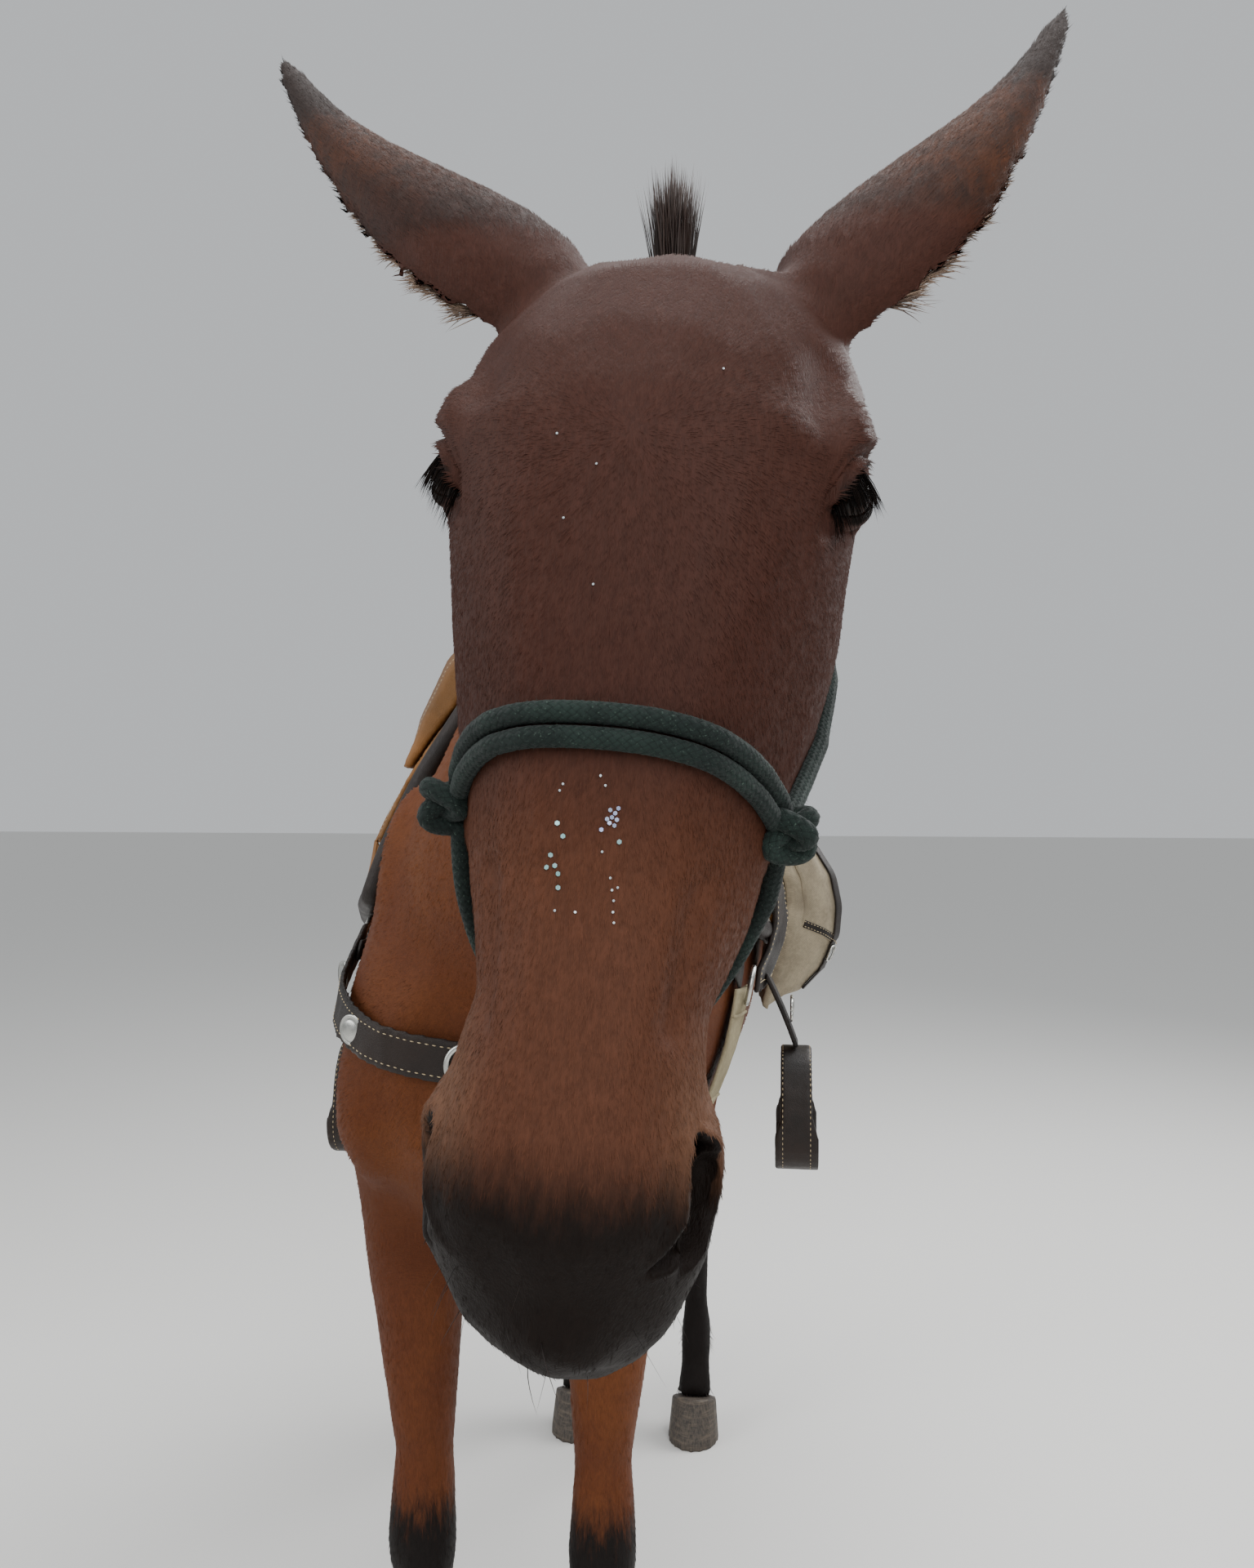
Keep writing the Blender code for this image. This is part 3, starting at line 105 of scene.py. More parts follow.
def linear(code):  # sRGB hex to linear
    parts = [int(code[i:i + 2], 16) / 255 for i in (1, 3, 5)]
    return tuple(c / 12.92 if c <= 0.04045 else ((c + 0.055) / 1.055)**2.4 for c in parts) + (1.0,)


def smoothStep(low, high, value):
    t = np.clip((value - low) / (high - low), 0.0, 1.0)
    return t * t * (3.0 - 2.0 * t)


# Materials

def feed(node, inputs):  # by name or place: a socket is linked and anything else is set
    for key, value in inputs.items() if isinstance(inputs, dict) else enumerate(inputs):
        if isinstance(value, bpy.types.NodeSocket):
            node.id_data.links.new(value, node.inputs[key])
        else:
            node.inputs[key].default_value = value


def addNode(tree, kind, inputs=(), output=0, **settings):  # output None gives them all
    node = tree.nodes.new("ShaderNode" + kind)
    for name, value in settings.items():
        setattr(node, name, value)
    feed(node, inputs)
    return node.outputs if output is None else node.outputs[output]


def newMaterial(name, roughness, metallic=0.0, ior=1.5, gloss=0.5):
    made = bpy.data.materials.new(name)
    made.use_nodes = True
    shader = made.node_tree.nodes["Principled BSDF"]
    feed(shader, {"Roughness": roughness, "Metallic": metallic, "IOR": ior, "Specular IOR Level": gloss})
    return made, partial(addNode, made.node_tree), shader


def layColours(add, base, layers):  # lays each hex colour over those below it, by its amount
    colour = linear(base)
    for amount, code in layers:
        colour = add("Mix", {0: amount, 6: colour, 7: linear(code)}, 2, data_type="RGBA")
    return colour


eased = {"interpolation_type": "SMOOTHSTEP"}

coatColours = {
    "bay": "#582f1b",
    "bayLight": "#6b3d20",
    "face": "#41261e",
    "nose": "#573526",
    "mealy": "#80614a",
    "black": "#15100e",
    "muzzle": "#140c08",
    "earRim": "#2c211d",
}


def coatMaterial(name, hairSize=0.0011, depth=0.0006):
    # Summer coat of a bay mule: short flat hair, red-brown, with soft dark and pale markings
    made, add, shader = newMaterial(name, 0.62, ior=1.45, gloss=0.14)
    marks = add("Attribute", attribute_name="markings")
    tone = add("Attribute", attribute_name="tone")
    black, mealy, bare = add("SeparateColor", (marks,), None)
    face, nose, rim = add("SeparateColor", (tone,), None)
    place = add("TexCoord", (), "Object")
    lie = add("Attribute", (), "Vector", attribute_name="lie")
    narrow = add("VectorMath", (lie, (1.0, 0.16, 1.0)), operation="MULTIPLY")
    broad = add("VectorMath", (lie, (1.0, 0.45, 1.0)), operation="MULTIPLY")
    fine, clump, patch, fray = [
        add("TexNoise", {"Vector": where, "Scale": 1 / size, "Detail": detail, "Roughness": rough,
                         "Distortion": bend})
        for where, size, detail, rough, bend in (
            (narrow, hairSize, 2.0, 0.6, 0.3), (broad, hairSize * 4, 3.0, 0.6, 0.5),
            (place, 0.22, 4.0, 0.6, 0.0), (narrow, 0.006, 3.0, 0.7, 0.0))]
    edge = add("Math", (fray, 0.5), operation="SUBTRACT")

    def marked(value, wobble, low=0.3, high=0.7, most=1.0):  # a marking whose edge breaks up into hairs
        frayed = add("Math", (edge, wobble, value), operation="MULTIPLY_ADD")
        return add("MapRange", (frayed, low, high, 0.0, most), **eased)

    layers = ((add("MapRange", (patch, 0.3, 0.75), **eased), "bayLight"), (face, "face"),
              (nose, "nose"), (marked(mealy, 0.25, 0.1, 0.9, 0.85), "mealy"), (marked(rim, 0.4), "earRim"),
              (marked(black, 0.6), "black"), (marked(bare, 0.5, 0.08, 0.86), "muzzle"))
    colour = layColours(add, coatColours["bay"], [(amount, coatColours[word]) for amount, word in layers])
    broadStreak = add("Math", (clump, 0.55), operation="MULTIPLY")
    streak = add("Math", (fine, 0.5, broadStreak), operation="MULTIPLY_ADD")
    # painted shade: the skin, made with depth, gets a darker range than the tufts over it, for the shade
    # between the hairs
    darkest, palest = (0.66, 1.14) if depth else (0.8, 1.2)
    shade = add("MapRange", (streak, 0.3, 0.75, darkest, palest))
    feed(shader, {"Base Color": add("Mix", {0: 1.0, 6: colour, 7: shade}, 2, data_type="RGBA",
                                    blend_type="MULTIPLY")})
    if depth:
        rough = add("Bump", {"Height": clump, "Distance": depth * 2.2, "Strength": 0.45})
        feed(shader, {"Normal": add("Bump", {"Height": fine, "Distance": depth, "Strength": 0.8,
                                             "Normal": rough})})
    return made


# Meshes

def newObject(name, bm, material=None, smooth=True):
    mesh = bpy.data.meshes.new(name)
    bm.to_mesh(mesh)
    bm.free()
    return placeMesh(name, mesh, material, smooth)


def placeMesh(name, mesh, material=None, smooth=True):
    made = bpy.data.objects.new(name, mesh)
    bpy.context.scene.collection.objects.link(made)
    if material:
        mesh.materials.append(material)
    if smooth:
        mesh.shade_smooth()
    return made


def applyModifiers(made):
    graph = bpy.context.evaluated_depsgraph_get()
    mesh = bpy.data.meshes.new_from_object(made.evaluated_get(graph))
    made.modifiers.clear()
    made.data = mesh
    return made


bothSides = ((-1, "right"), (1, "left"))


def voxelSkin(made, size):
    shell = made.modifiers.new("shell", "REMESH")
    shell.mode = "VOXEL"
    shell.voxel_size = size
    return applyModifiers(made)


def ride(made, *replaced, slot="hair"):
    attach(made, "root")
    if replaced:
        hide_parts(*replaced)


def nodeCopy(name, swell=0.0):  # a merged copy of a CAD node, moved out along its normals
    bm = bmesh.new()
    bm.from_mesh(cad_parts[name].data)
    bmesh.ops.remove_doubles(bm, verts=bm.verts, dist=0.00002)
    bm.normal_update()
    for vert in bm.verts:
        vert.co += vert.normal * swell
    return bm


def nodeTree(*names):
    bm = bmesh.new()
    for name in names:
        bm.from_mesh(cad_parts[name].data)
    tree = BVHTree.FromBMesh(bm)
    bm.free()
    return tree


def perVertex(mesh, field):
    values = np.empty(len(mesh.vertices) * 3)
    mesh.vertices.foreach_get(field, values)
    return values.reshape(-1, 3)


def positions(mesh):
    return perVertex(mesh, "co")


def normals(mesh):
    return perVertex(mesh, "normal")


def moveTo(mesh, points):
    mesh.vertices.foreach_set("co", points.ravel())
    mesh.update()


def relax(mesh, rounds, weight=None):
    # Smooths in pairs of steps, one in and one out, so the form keeps its size
    edges = np.empty(len(mesh.edges) * 2, dtype=np.int64)
    mesh.edges.foreach_get("vertices", edges)
    first, second = edges.reshape(-1, 2).T
    count = len(mesh.vertices)
    degree = np.bincount(first, minlength=count) + np.bincount(second, minlength=count)
    points = positions(mesh)
    for step in range(rounds * 2):
        factor = 0.55 if step % 2 == 0 else -0.57
        total = np.empty_like(points)
        for axis in range(3):
            total[:, axis] = (np.bincount(first, points[second, axis], count)
                              + np.bincount(second, points[first, axis], count))
        change = (total / degree[:, None] - points) * factor
        points = points + (change if weight is None else change * weight[:, None])
    moveTo(mesh, points)


def runsAlong(points):  # metres along a path at each of its points
    return np.concatenate(([0.0], np.cumsum(np.linalg.norm(np.diff(points, axis=0), axis=1))))


def placeAlong(at, runs, points):
    return np.column_stack([np.interp(at, runs, points[:, i]) for i in range(3)])


def curveThrough(points, step):  # evenly spaced points on a smooth curve through the given ones
    points = np.asarray(points, dtype=float)
    lengths = runsAlong(points)
    slopes = np.gradient(points, lengths, axis=0)
    count = max(int(round(lengths[-1] / step)), 2)
    at = np.linspace(0.0, lengths[-1], count + 1)
    index = np.clip(np.searchsorted(lengths, at, side="right") - 1, 0, len(points) - 2)
    span = (lengths[index + 1] - lengths[index])[:, None]
    t = (at[:, None] - lengths[index][:, None]) / span
    return (points[index] * (1 + 2 * t) * (1 - t)**2 + slopes[index] * span * t * (1 - t)**2
            + points[index + 1] * t * t * (3 - 2 * t) + slopes[index + 1] * span * t * t * (t - 1))


# Skin

skin = {
    "headVoxel": 0.0042,
    "bodyVoxel": 0.013,
    "swell": 0.0006,
    "earSwell": 0.0016,
    "coatDepth": 0.0016,
    "seamPoint": (0.23, -0.55, 1.475),
    "seamAxis": (-0.268, 0.893, -0.363),
    "seamGap": 0.006,
    "headNodes": ("head", "ear_left", "ear_right", "neck"),
    "bodyNodes": ("head", "neck", "torso", "foreleg_left", "foreleg_right", "hindleg_left",
                  "hindleg_right"),
}


def cutTuft(bm):  # the solid tuft between the ears makes way for hair
    base = headPoint(-0.003, -0.005, -0.12)
    up = headDirection(0.0, -1.0, 0.0)
    top = headPoint(-0.003, -0.009, -0.12)
    near = []
    for face in bm.faces:
        offset = face.calc_center_median() - base
        if offset.dot(up) > -0.02 and (offset - up * offset.dot(up)).length < 0.05:
            near.append(face)
    verts = list({vert for face in near for vert in face.verts})
    edges = list({edge for face in near for edge in face.edges})
    bmesh.ops.bisect_plane(bm, geom=verts + edges + near, plane_co=top, plane_no=up, clear_outer=True)
    keepLargest(bm)
    bmesh.ops.holes_fill(bm, edges=[edge for edge in bm.edges if edge.is_boundary], sides=0)


def remeshed(names, voxel):
    whole = bmesh.new()
    for name in names:
        part = nodeCopy(name, skin["earSwell" if name.startswith("ear") else "swell"])
        if name == "head":
            cutTuft(part)
        mesh = bpy.data.meshes.new("part")
        part.to_mesh(mesh)
        part.free()
        whole.from_mesh(mesh)
    return voxelSkin(newObject("shell", whole), voxel)


def cutAway(made, point, axis):  # removes the side that the axis points to
    bm = bmesh.new()
    bm.from_mesh(made.data)
    bmesh.ops.bisect_plane(bm, geom=bm.verts[:] + bm.edges[:] + bm.faces[:], plane_co=point,
                           plane_no=axis, clear_outer=True)
    keepLargest(bm)
    bm.to_mesh(made.data)
    bm.free()


def keepLargest(bm):
    unseen = set(bm.verts)
    groups = []
    while unseen:
        group = [unseen.pop()]
        for vert in group:
            for edge in vert.link_edges:
                other = edge.other_vert(vert)
                if other in unseen:
                    unseen.discard(other)
                    group.append(other)
        groups.append(group)
    groups.sort(key=len)
    for group in groups[:-1]:
        bmesh.ops.delete(bm, geom=group, context="VERTS")


fineSpots = [  # lateral, along, above and radius: where the skin is finer
    (0.092, 0.123, -0.062, 0.04),
    (0.098, 0.123, -0.06, 0.028),
    (0.058, 0.458, -0.05, 0.044),
]


def makeSkin():
    axis = Vector(skin["seamAxis"]).normalized()
    point = Vector(skin["seamPoint"]) + shift
    head = remeshed(skin["headNodes"], skin["headVoxel"])
    cutAway(head, point, axis)
    relax(head.data, 9)
    body = remeshed(skin["bodyNodes"], skin["bodyVoxel"])
    cutAway(body, point + axis * skin["seamGap"], -axis)
    relax(body.data, 4)
    bm = bmesh.new()
    bm.from_mesh(head.data)
    bm.from_mesh(body.data)
    rim = [edge for edge in bm.edges if edge.is_boundary]
    bmesh.ops.bridge_loops(bm, edges=rim)
    bm.verts.ensure_lookup_table()
    for x, s, h, reach in fineSpots:
        centres = [headPoint(side * x, s, h) for side in (-1, 1)]
        fine = [edge for edge in bm.edges
                if any((edge.verts[0].co - centre).length < reach for centre in centres)]
        bmesh.ops.subdivide_edges(bm, edges=fine, cuts=1, use_grid_fill=True)
    bm.verts.index_update()
    places = toHead(np.array([vert.co[:] for vert in bm.verts]))
    close = distanceTo(foldHead(places), almond()) < 0.0036
    rim = [edge for edge in bm.edges if close[edge.verts[0].index] and close[edge.verts[1].index]]
    bmesh.ops.subdivide_edges(bm, edges=rim, cuts=1, use_grid_fill=True)
    bmesh.ops.triangulate(bm, faces=[face for face in bm.faces if len(face.verts) > 4])
    bmesh.ops.recalc_face_normals(bm, faces=bm.faces)
    for old in (head, body):
        bpy.data.objects.remove(old)
    made = newObject("muleSkin", bm)
    relax(made.data, 3)
    return made


def distanceTo(points, path):  # distance of each point to a polyline
    best = np.full(len(points), 9.0)
    for a, b in zip(path, path[1:]):
        line = b - a
        t = np.clip((points - a) @ line / max(line @ line, 1e-12), 0.0, 1.0)
        best = np.minimum(best, np.linalg.norm(points - (a + t[:, None] * line), axis=1))
    return best


eye = {
    "centre": (0.0905, 0.123, -0.066),
    "radius": 0.0193,
    "halfLong": 0.018,
    "halfShort": 0.0098,
    "turn": 32,
    "slant": 38,
    "lid": 0.0028,
}


def eyeAxes():  # outward, canthus to canthus and across, in head lengths on the left side
    turn, slant = math.radians(eye["turn"]), math.radians(eye["slant"])
    outward = Vector((math.cos(turn), 0.05, math.sin(turn))).normalized()
    longAxis = Vector((-0.45, math.cos(slant), math.sin(slant) * 0.9))
    longAxis = (longAxis - outward * longAxis.dot(outward)).normalized()
    return longAxis, outward.cross(longAxis), outward


def almond(count=24, grow=0.0):  # rim of the eye opening, in head lengths, on the left side
    longAxis, shortAxis, outward = eyeAxes()
    centre = Vector(eye["centre"]) + outward * 0.0175
    rim = []
    for angle in np.linspace(0, 2 * math.pi, count + 1):
        rim.append(np.array(centre + longAxis * ((eye["halfLong"] + grow) * math.cos(angle))
                            + shortAxis * ((eye["halfShort"] + grow) * math.sin(angle))))
    return rim


def shapeLids(folded, out):
    # Wraps the skin over the eyeball: a thin rounded lid round a clean almond opening
    axes = np.array(eyeAxes())
    offset = (folded - np.array(eye["centre"])) @ axes.T
    distance = np.linalg.norm(offset, axis=1)
    ratio = offset[:, :2] / (eye["halfLong"], eye["halfShort"])
    # the opening is pointed at the corners and fullest above
    share = np.hypot(ratio[:, 0], ratio[:, 1] * (1.0 + 0.25 * ratio[:, 0]**2))
    front = (offset[:, 2] > 0.25 * distance) & (distance < 0.05) & (share < 3.2)
    direction = offset / distance[:, None]
    behind = front & (np.sum((out @ axes.T) * direction, axis=1) < -0.3)  # the lid's hidden side
    rim = front & ~behind & (np.abs(share - 1.0) < 0.2)
    inside = front & ~behind & (share <= 0.8)
    outside = front & ~behind & (share >= 1.2)
    flat = offset.copy()
    flat[rim, :2] /= share[rim, None]
    flat[inside] = direction[inside] * (eye["radius"] - 0.003)
    flat[behind] = direction[behind] * np.minimum(distance[behind], eye["radius"] - 0.0016)[:, None]
    fade = smoothStep(1.35, 2.6, share)
    edge = 1.0 - np.clip((1.38 - share) / 0.25, 0.0, 1.0)**2 * 0.45
    upper = smoothStep(-0.2, 0.8, ratio[:, 1] * np.sign(axes[1] @ (0.0, -1.0, 0.3)))
    target = eye["radius"] + eye["lid"] * edge * (1.0 + 1.2 * upper)
    target -= 0.002 * np.exp(-((share - 1.72) / 0.15)**2)
    target -= 0.001 * upper * np.exp(-((share - 2.15) / 0.14)**2)
    width = np.sum(flat[:, :2]**2, axis=1)
    flat[rim, 2] = np.sqrt(np.maximum((eye["radius"] + 0.001)**2 - width[rim], 1e-8))
    over = np.sqrt(np.maximum(target**2 - width, 0.0095**2))
    flat[outside, 2] = (over * (1 - fade) + offset[:, 2] * fade)[outside]
    return flat @ axes + np.array(eye["centre"])


sculpting = [  # path in head lengths on the left side, radius and height in metres
    (((0.084, 0.18, -0.085), (0.08, 0.235, -0.083), (0.07, 0.3, -0.076)), 0.01, 0.0028),
    (((0.09, 0.06, -0.05), (0.084, 0.085, -0.038)), 0.016, -0.005),
    (((0.062, 0.1, -0.006), (0.078, 0.112, -0.03)), 0.012, 0.0022),
    (((0.046, 0.325, -0.026), (0.041, 0.385, -0.026)), 0.009, -0.004),
    (((0.088, 0.098, -0.062), (0.093, 0.106, -0.078)), 0.008, 0.0028),
    (((0.06, 0.345, -0.07), (0.052, 0.4, -0.078)), 0.012, -0.0028),
    (((0.088, 0.17, -0.15), (0.08, 0.23, -0.19), (0.06, 0.28, -0.2)), 0.02, 0.003),
    (((0.072, 0.3, -0.12), (0.06, 0.35, -0.115), (0.05, 0.4, -0.105)), 0.012, -0.003),
    (((0.07, 0.17, -0.045), (0.06, 0.24, -0.035), (0.048, 0.31, -0.03)), 0.0028, 0.0011),
    (((0.074, 0.2, -0.06), (0.068, 0.255, -0.052), (0.056, 0.32, -0.05), (0.053, 0.36, -0.062)),
     0.0026, 0.0012),
    (((0.058, 0.385, -0.052), (0.063, 0.415, -0.06), (0.066, 0.44, -0.068)), 0.0022, -0.0014),
    (((0.064, 0.375, -0.066), (0.068, 0.405, -0.076), (0.069, 0.43, -0.084)), 0.002, -0.0012),
    (((0.052, 0.5, -0.1), (0.06, 0.478, -0.104), (0.064, 0.458, -0.106)), 0.0024, -0.0014),
    (((0.04, 0.516, -0.07), (0.046, 0.505, -0.085)), 0.006, 0.0015),
]


def earWeight(local):  # 1 on the ears, which stand above the poll
    return (smoothStep(0.025, 0.045, -local[:, 1]) * smoothStep(0.02, 0.04, np.abs(local[:, 0]))
            * (local[:, 2] > -0.3))


nostril = {
    "path": ((0.058, 0.4335, -0.0425), (0.06, 0.442, -0.046), (0.0612, 0.452, -0.048),
             (0.0612, 0.462, -0.0475), (0.059, 0.47, -0.044), (0.053, 0.4785, -0.038),
             (0.0455, 0.4855, -0.033), (0.039, 0.4905, -0.0305)),
    "halfWidths": (0.0055, 0.0115, 0.0135, 0.013, 0.01, 0.0068, 0.0042, 0.0024),
    "middle": (0.058, 0.458, -0.047),
    "inward": (-0.55, -0.2, -0.8),
    "depth": 0.019,
    "rim": 0.0022,
}


def nostrilPlace(folded):  # 0 on the middle line of the nostril and 1 at its edge
    best, breadth = np.full(len(folded), 9.0), np.zeros(len(folded))
    path, widths = np.array(nostril["path"]), nostril["halfWidths"]
    for a, b, wide, following in zip(path, path[1:], widths, widths[1:]):
        line = b - a
        t = np.clip((folded - a) @ line / (line @ line), 0.0, 1.0)
        gap = np.linalg.norm(folded - (a + t[:, None] * line), axis=1)
        reach = wide + (following - wide) * t
        breadth = np.where(gap / reach < best, reach, breadth)
        best = np.minimum(best, gap / reach)
    return best, breadth


def insideNostril(folded):  # 1 within the hollow of the nostril
    near = np.linalg.norm(folded - nostril["middle"], axis=1) < 0.06
    inside = np.zeros(len(folded))
    inward = normalise(np.array(nostril["inward"])) * nostril["depth"]
    for part in (0.0, 0.33, 0.66, 1.0):
        place, _ = nostrilPlace(folded[near] - inward * part)
        inside[near] = np.maximum(inside[near], 1 - smoothStep(0.86, 1.04, place))
    return inside


def shapeNostrils(folded):
    # Hollows each nostril out behind a raised, rounded rim
    place, breadth = nostrilPlace(folded)
    share = np.clip(breadth / 0.0105, 0.0, 1.0)**1.3
    hollow = nostril["depth"] * share * (1 - smoothStep(0.2, 1.0, place))
    rim = nostril["rim"] * share * np.exp(-((place - 1.24) / 0.2)**2)
    inward = normalise(np.array(nostril["inward"]))
    return folded + inward * (hollow - rim)[:, None]


def sculpt(made):
    mesh = made.data
    points, out = positions(mesh), normals(mesh)
    ears = earWeight(toHead(points))
    points -= out * (skin["swell"] + skin["coatDepth"] * (1 - ears)
                     + (skin["earSwell"] - skin["swell"] - 0.0002) * ears)[:, None]
    moveTo(mesh, points)
    local = toHead(points)
    near = (local[:, 1] > -0.1) & (local[:, 1] < 0.62) & (local[:, 2] > -0.36)
    height = np.zeros(len(points))
    for path, radius, rise in sculpting:
        gap = distanceTo(foldHead(local)[near], [np.array(p) for p in path])
        height[near] += rise * np.exp(-(gap / radius)**2)
    # the mule's right side of the muzzle is fuller, and the lips hang a little
    level = np.exp(-((local[:, 1] - 0.447) / 0.062)**2) * near
    height += 0.0088 * level * smoothStep(0.02, 0.045, -local[:, 0])
    points = points + out * height[:, None]
    lips = smoothStep(0.49, 0.53, local[:, 1]) * near
    points += np.array(headDirection(0.0, 1.0, 0.0)) * (0.0042 * lips)[:, None]
    local = toHead(points)
    folded = foldHead(local)
    turned = out @ headTurn * np.column_stack((np.sign(local[:, 0]), np.ones((len(local), 2))))
    folded[near] = shapeLids(folded[near], turned[near])
    folded[near] = shapeNostrils(folded[near])
    folded[:, 0] *= np.sign(local[:, 0])
    moveTo(mesh, folded @ headTurn.T + headOrigin)
    gap = np.linalg.norm(foldHead(local) - eye["centre"], axis=1)
    relax(mesh, 2, smoothStep(0.046, 0.03, gap) * 0.5)
    reach = np.linalg.norm(foldHead(local) - nostril["middle"], axis=1)
    relax(mesh, 3, smoothStep(0.055, 0.04, reach))


neckLine = {
    "centres": ((0.25, -0.665, 1.505), (0.238, -0.57, 1.48), (0.19, -0.41, 1.415),
                (0.112, -0.25, 1.34), (0.04, -0.1, 1.265), (0.0, 0.05, 1.19)),
    "halfDepth": (0.1, 0.12, 0.146, 0.18, 0.218, 0.245),
}


def crestAt(places):  # points on the crest of the neck with their along, side and rise directions
    keys = np.linspace(0, 1, 6)
    centres = np.array(neckLine["centres"]) + np.array(shift)
    line = curveThrough(centres, 0.008)
    runs = runsAlong(line)
    keyRuns = [runs[np.argmin(np.linalg.norm(line - centre, axis=1))] for centre in centres]
    at = np.interp(places, keys, keyRuns)
    tangent = normalise(placeAlong(at, runs, np.gradient(line, axis=0)))
    side = normalise(np.cross(tangent, (0, 0, 1.0)))
    rise = np.cross(side, tangent)
    depth = np.interp(places, keys, neckLine["halfDepth"])
    return placeAlong(at, runs, line) + rise * depth[:, None], tangent, side, rise


def markings(points):
    # Weights of the coat's markings at each point: black points, mealy parts and bare black skin,
    # then face, nose and ear rim
    local, world = toHead(points), inStance(points)
    folded = foldHead(local)
    side, along, above = folded.T
    height, length = world[:, 2], world[:, 1]
    onHead = smoothStep(-0.4, -0.34, above) * smoothStep(-0.1, -0.04, along) * (along < 0.62)
    kneeTop = np.where(length > 0.6, 0.68, 0.62)
    black = (1.0 - smoothStep(kneeTop - 0.22, kneeTop, height)) * (1.0 - onHead)
    stripe = (1 - smoothStep(0.01, 0.02, np.abs(world[:, 0]))) * smoothStep(0.15, 0.3, length) \
        * smoothStep(1.28, 1.34, height)
    black = np.maximum(np.maximum(black, stripe * 0.6), maneWeight(points))
    mealy = (1.0 - smoothStep(0.84, 0.93, height)) * smoothStep(0.7, 0.8, height) \
        * (1.0 - smoothStep(0.1, 0.17, np.abs(world[:, 0]))) * (1.0 - onHead) * 0.6 \
        * smoothStep(0.15, 0.35, length)
    ring = smoothStep(0.33, 0.43, along + 0.5 * (side - 0.04)) * (1 - smoothStep(0.455, 0.5, along))
    mealy = np.maximum(mealy, onHead * ring * (0.1 + 0.34 * smoothStep(0.02, 0.06, side)))
    ballGap = np.linalg.norm(folded - eye["centre"], axis=1) - eye["radius"]
    bare = smoothStep(0.412, 0.492, along + 0.1 * (side - 0.03))  # the muzzle, then lids and nostrils
    for weight in (np.exp(-(distanceTo(folded, almond(16, 0.001)) / 0.0038)**2),
                   1 - smoothStep(0.0004, 0.0018, ballGap), insideNostril(folded)):
        bare = np.maximum(bare, weight)
    bare = np.clip(onHead * bare, 0, 1)
    face = onHead * (1.0 - smoothStep(0.25, 0.4, along)) * smoothStep(-0.46, -0.2, above)
    nose = onHead * smoothStep(0.25, 0.36, along)
    ears = smoothStep(1.6, 1.64, height) * 0.55 + smoothStep(1.72, 1.79, height) * 0.45
    return (np.column_stack((black, mealy, bare, np.ones(len(points)))),
            np.column_stack((face, nose, ears, np.ones(len(points)))))


def maneWeight(points):  # 1 on the ridge of the mane along the crest
    crest, _, side, rise = crestAt(np.linspace(0.02, 0.92, 64))
    best = np.full(len(points), 9.0)
    weight = np.zeros(len(points))
    for spot, across, up in zip(crest, side, rise):
        offset = points - spot
        gap = np.linalg.norm(offset, axis=1)
        near = gap < best
        best = np.where(near, gap, best)
        beside = 1 - smoothStep(0.012, 0.02, np.abs(offset @ across))
        weight = np.where(near, beside * smoothStep(-0.012, -0.002, offset @ up), weight)
    return weight * (best < 0.075)


def hairLie(points):
    # Coordinates whose second axis runs with the hair: down the face, back along the body
    local = toHead(points)
    world = inStance(points)
    onHead = smoothStep(-0.42, -0.3, local[:, 2])[:, None] * (local[:, 1] < 0.7)[:, None]
    slope = math.radians(35)
    back = world[:, 1] * math.cos(slope) - world[:, 2] * math.sin(slope)
    rise = world[:, 1] * math.sin(slope) + world[:, 2] * math.cos(slope)
    body = np.column_stack((world[:, 0], back, rise))
    leg = (1.0 - smoothStep(0.75, 0.95, world[:, 2]))[:, None] * (1 - onHead)
    down = np.column_stack((world[:, 0], -world[:, 2], world[:, 1]))
    return local * onHead + (body * (1 - leg) + down * leg) * (1 - onHead)


def setAttribute(mesh, name, kind, values):
    layer = mesh.attributes.new(name, kind, "POINT")
    field = {"FLOAT_COLOR": "color", "FLOAT_VECTOR": "vector", "FLOAT": "value"}[kind]
    layer.data.foreach_set(field, np.ascontiguousarray(values, dtype=np.float32).ravel())


def paint(mesh, points, each=1):  # the marks of every point go to as many vertices as each says
    marks, tone = markings(points)
    for name, kind, values in (("markings", "FLOAT_COLOR", marks), ("tone", "FLOAT_COLOR", tone),
                               ("lie", "FLOAT_VECTOR", hairLie(points))):
        setAttribute(mesh, name, kind, np.repeat(values, each, axis=0))


# the skin's copy of the coat carries painted shade between the hairs: it is darker than the tufts' copy
coat = coatMaterial("shortBayCoat")
muleSkin = makeSkin()
sculpt(muleSkin)
paint(muleSkin.data, positions(muleSkin.data))
muleSkin.data.materials.append(coat)
ride(muleSkin, "head", "neck", "torso", "ear_left", "ear_right", "foreleg_left", "foreleg_right",
     "hindleg_left", "hindleg_right", slot="coat")
print("skin made:", len(muleSkin.data.polygons), "faces")


# Shapes laid along paths and over surfaces

def pathFrames(points):  # side and rise at each point, turned as little as possible
    tangents = np.gradient(points, axis=0)
    tangents /= np.linalg.norm(tangents, axis=1)[:, None]
    start = np.array((0.0, 0.0, 1.0)) if abs(tangents[0, 2]) < 0.9 else np.array((0.0, 1.0, 0.0))
    side = np.cross(tangents[0], start)
    sides = []
    for tangent in tangents:
        side = side - tangent * (side @ tangent)
        side = side / np.linalg.norm(side)
        sides.append(side)
    sides = np.array(sides)
    return sides, np.cross(sides, tangents)


def gridShape(columns, rows):  # a flat grid whose vertices know their place from 0 to 1
    bm = bmesh.new()
    bmesh.ops.create_grid(bm, x_segments=columns, y_segments=rows, size=0.5)
    spots = np.array([vert.co[:2] for vert in bm.verts]) + 0.5
    return bm, spots


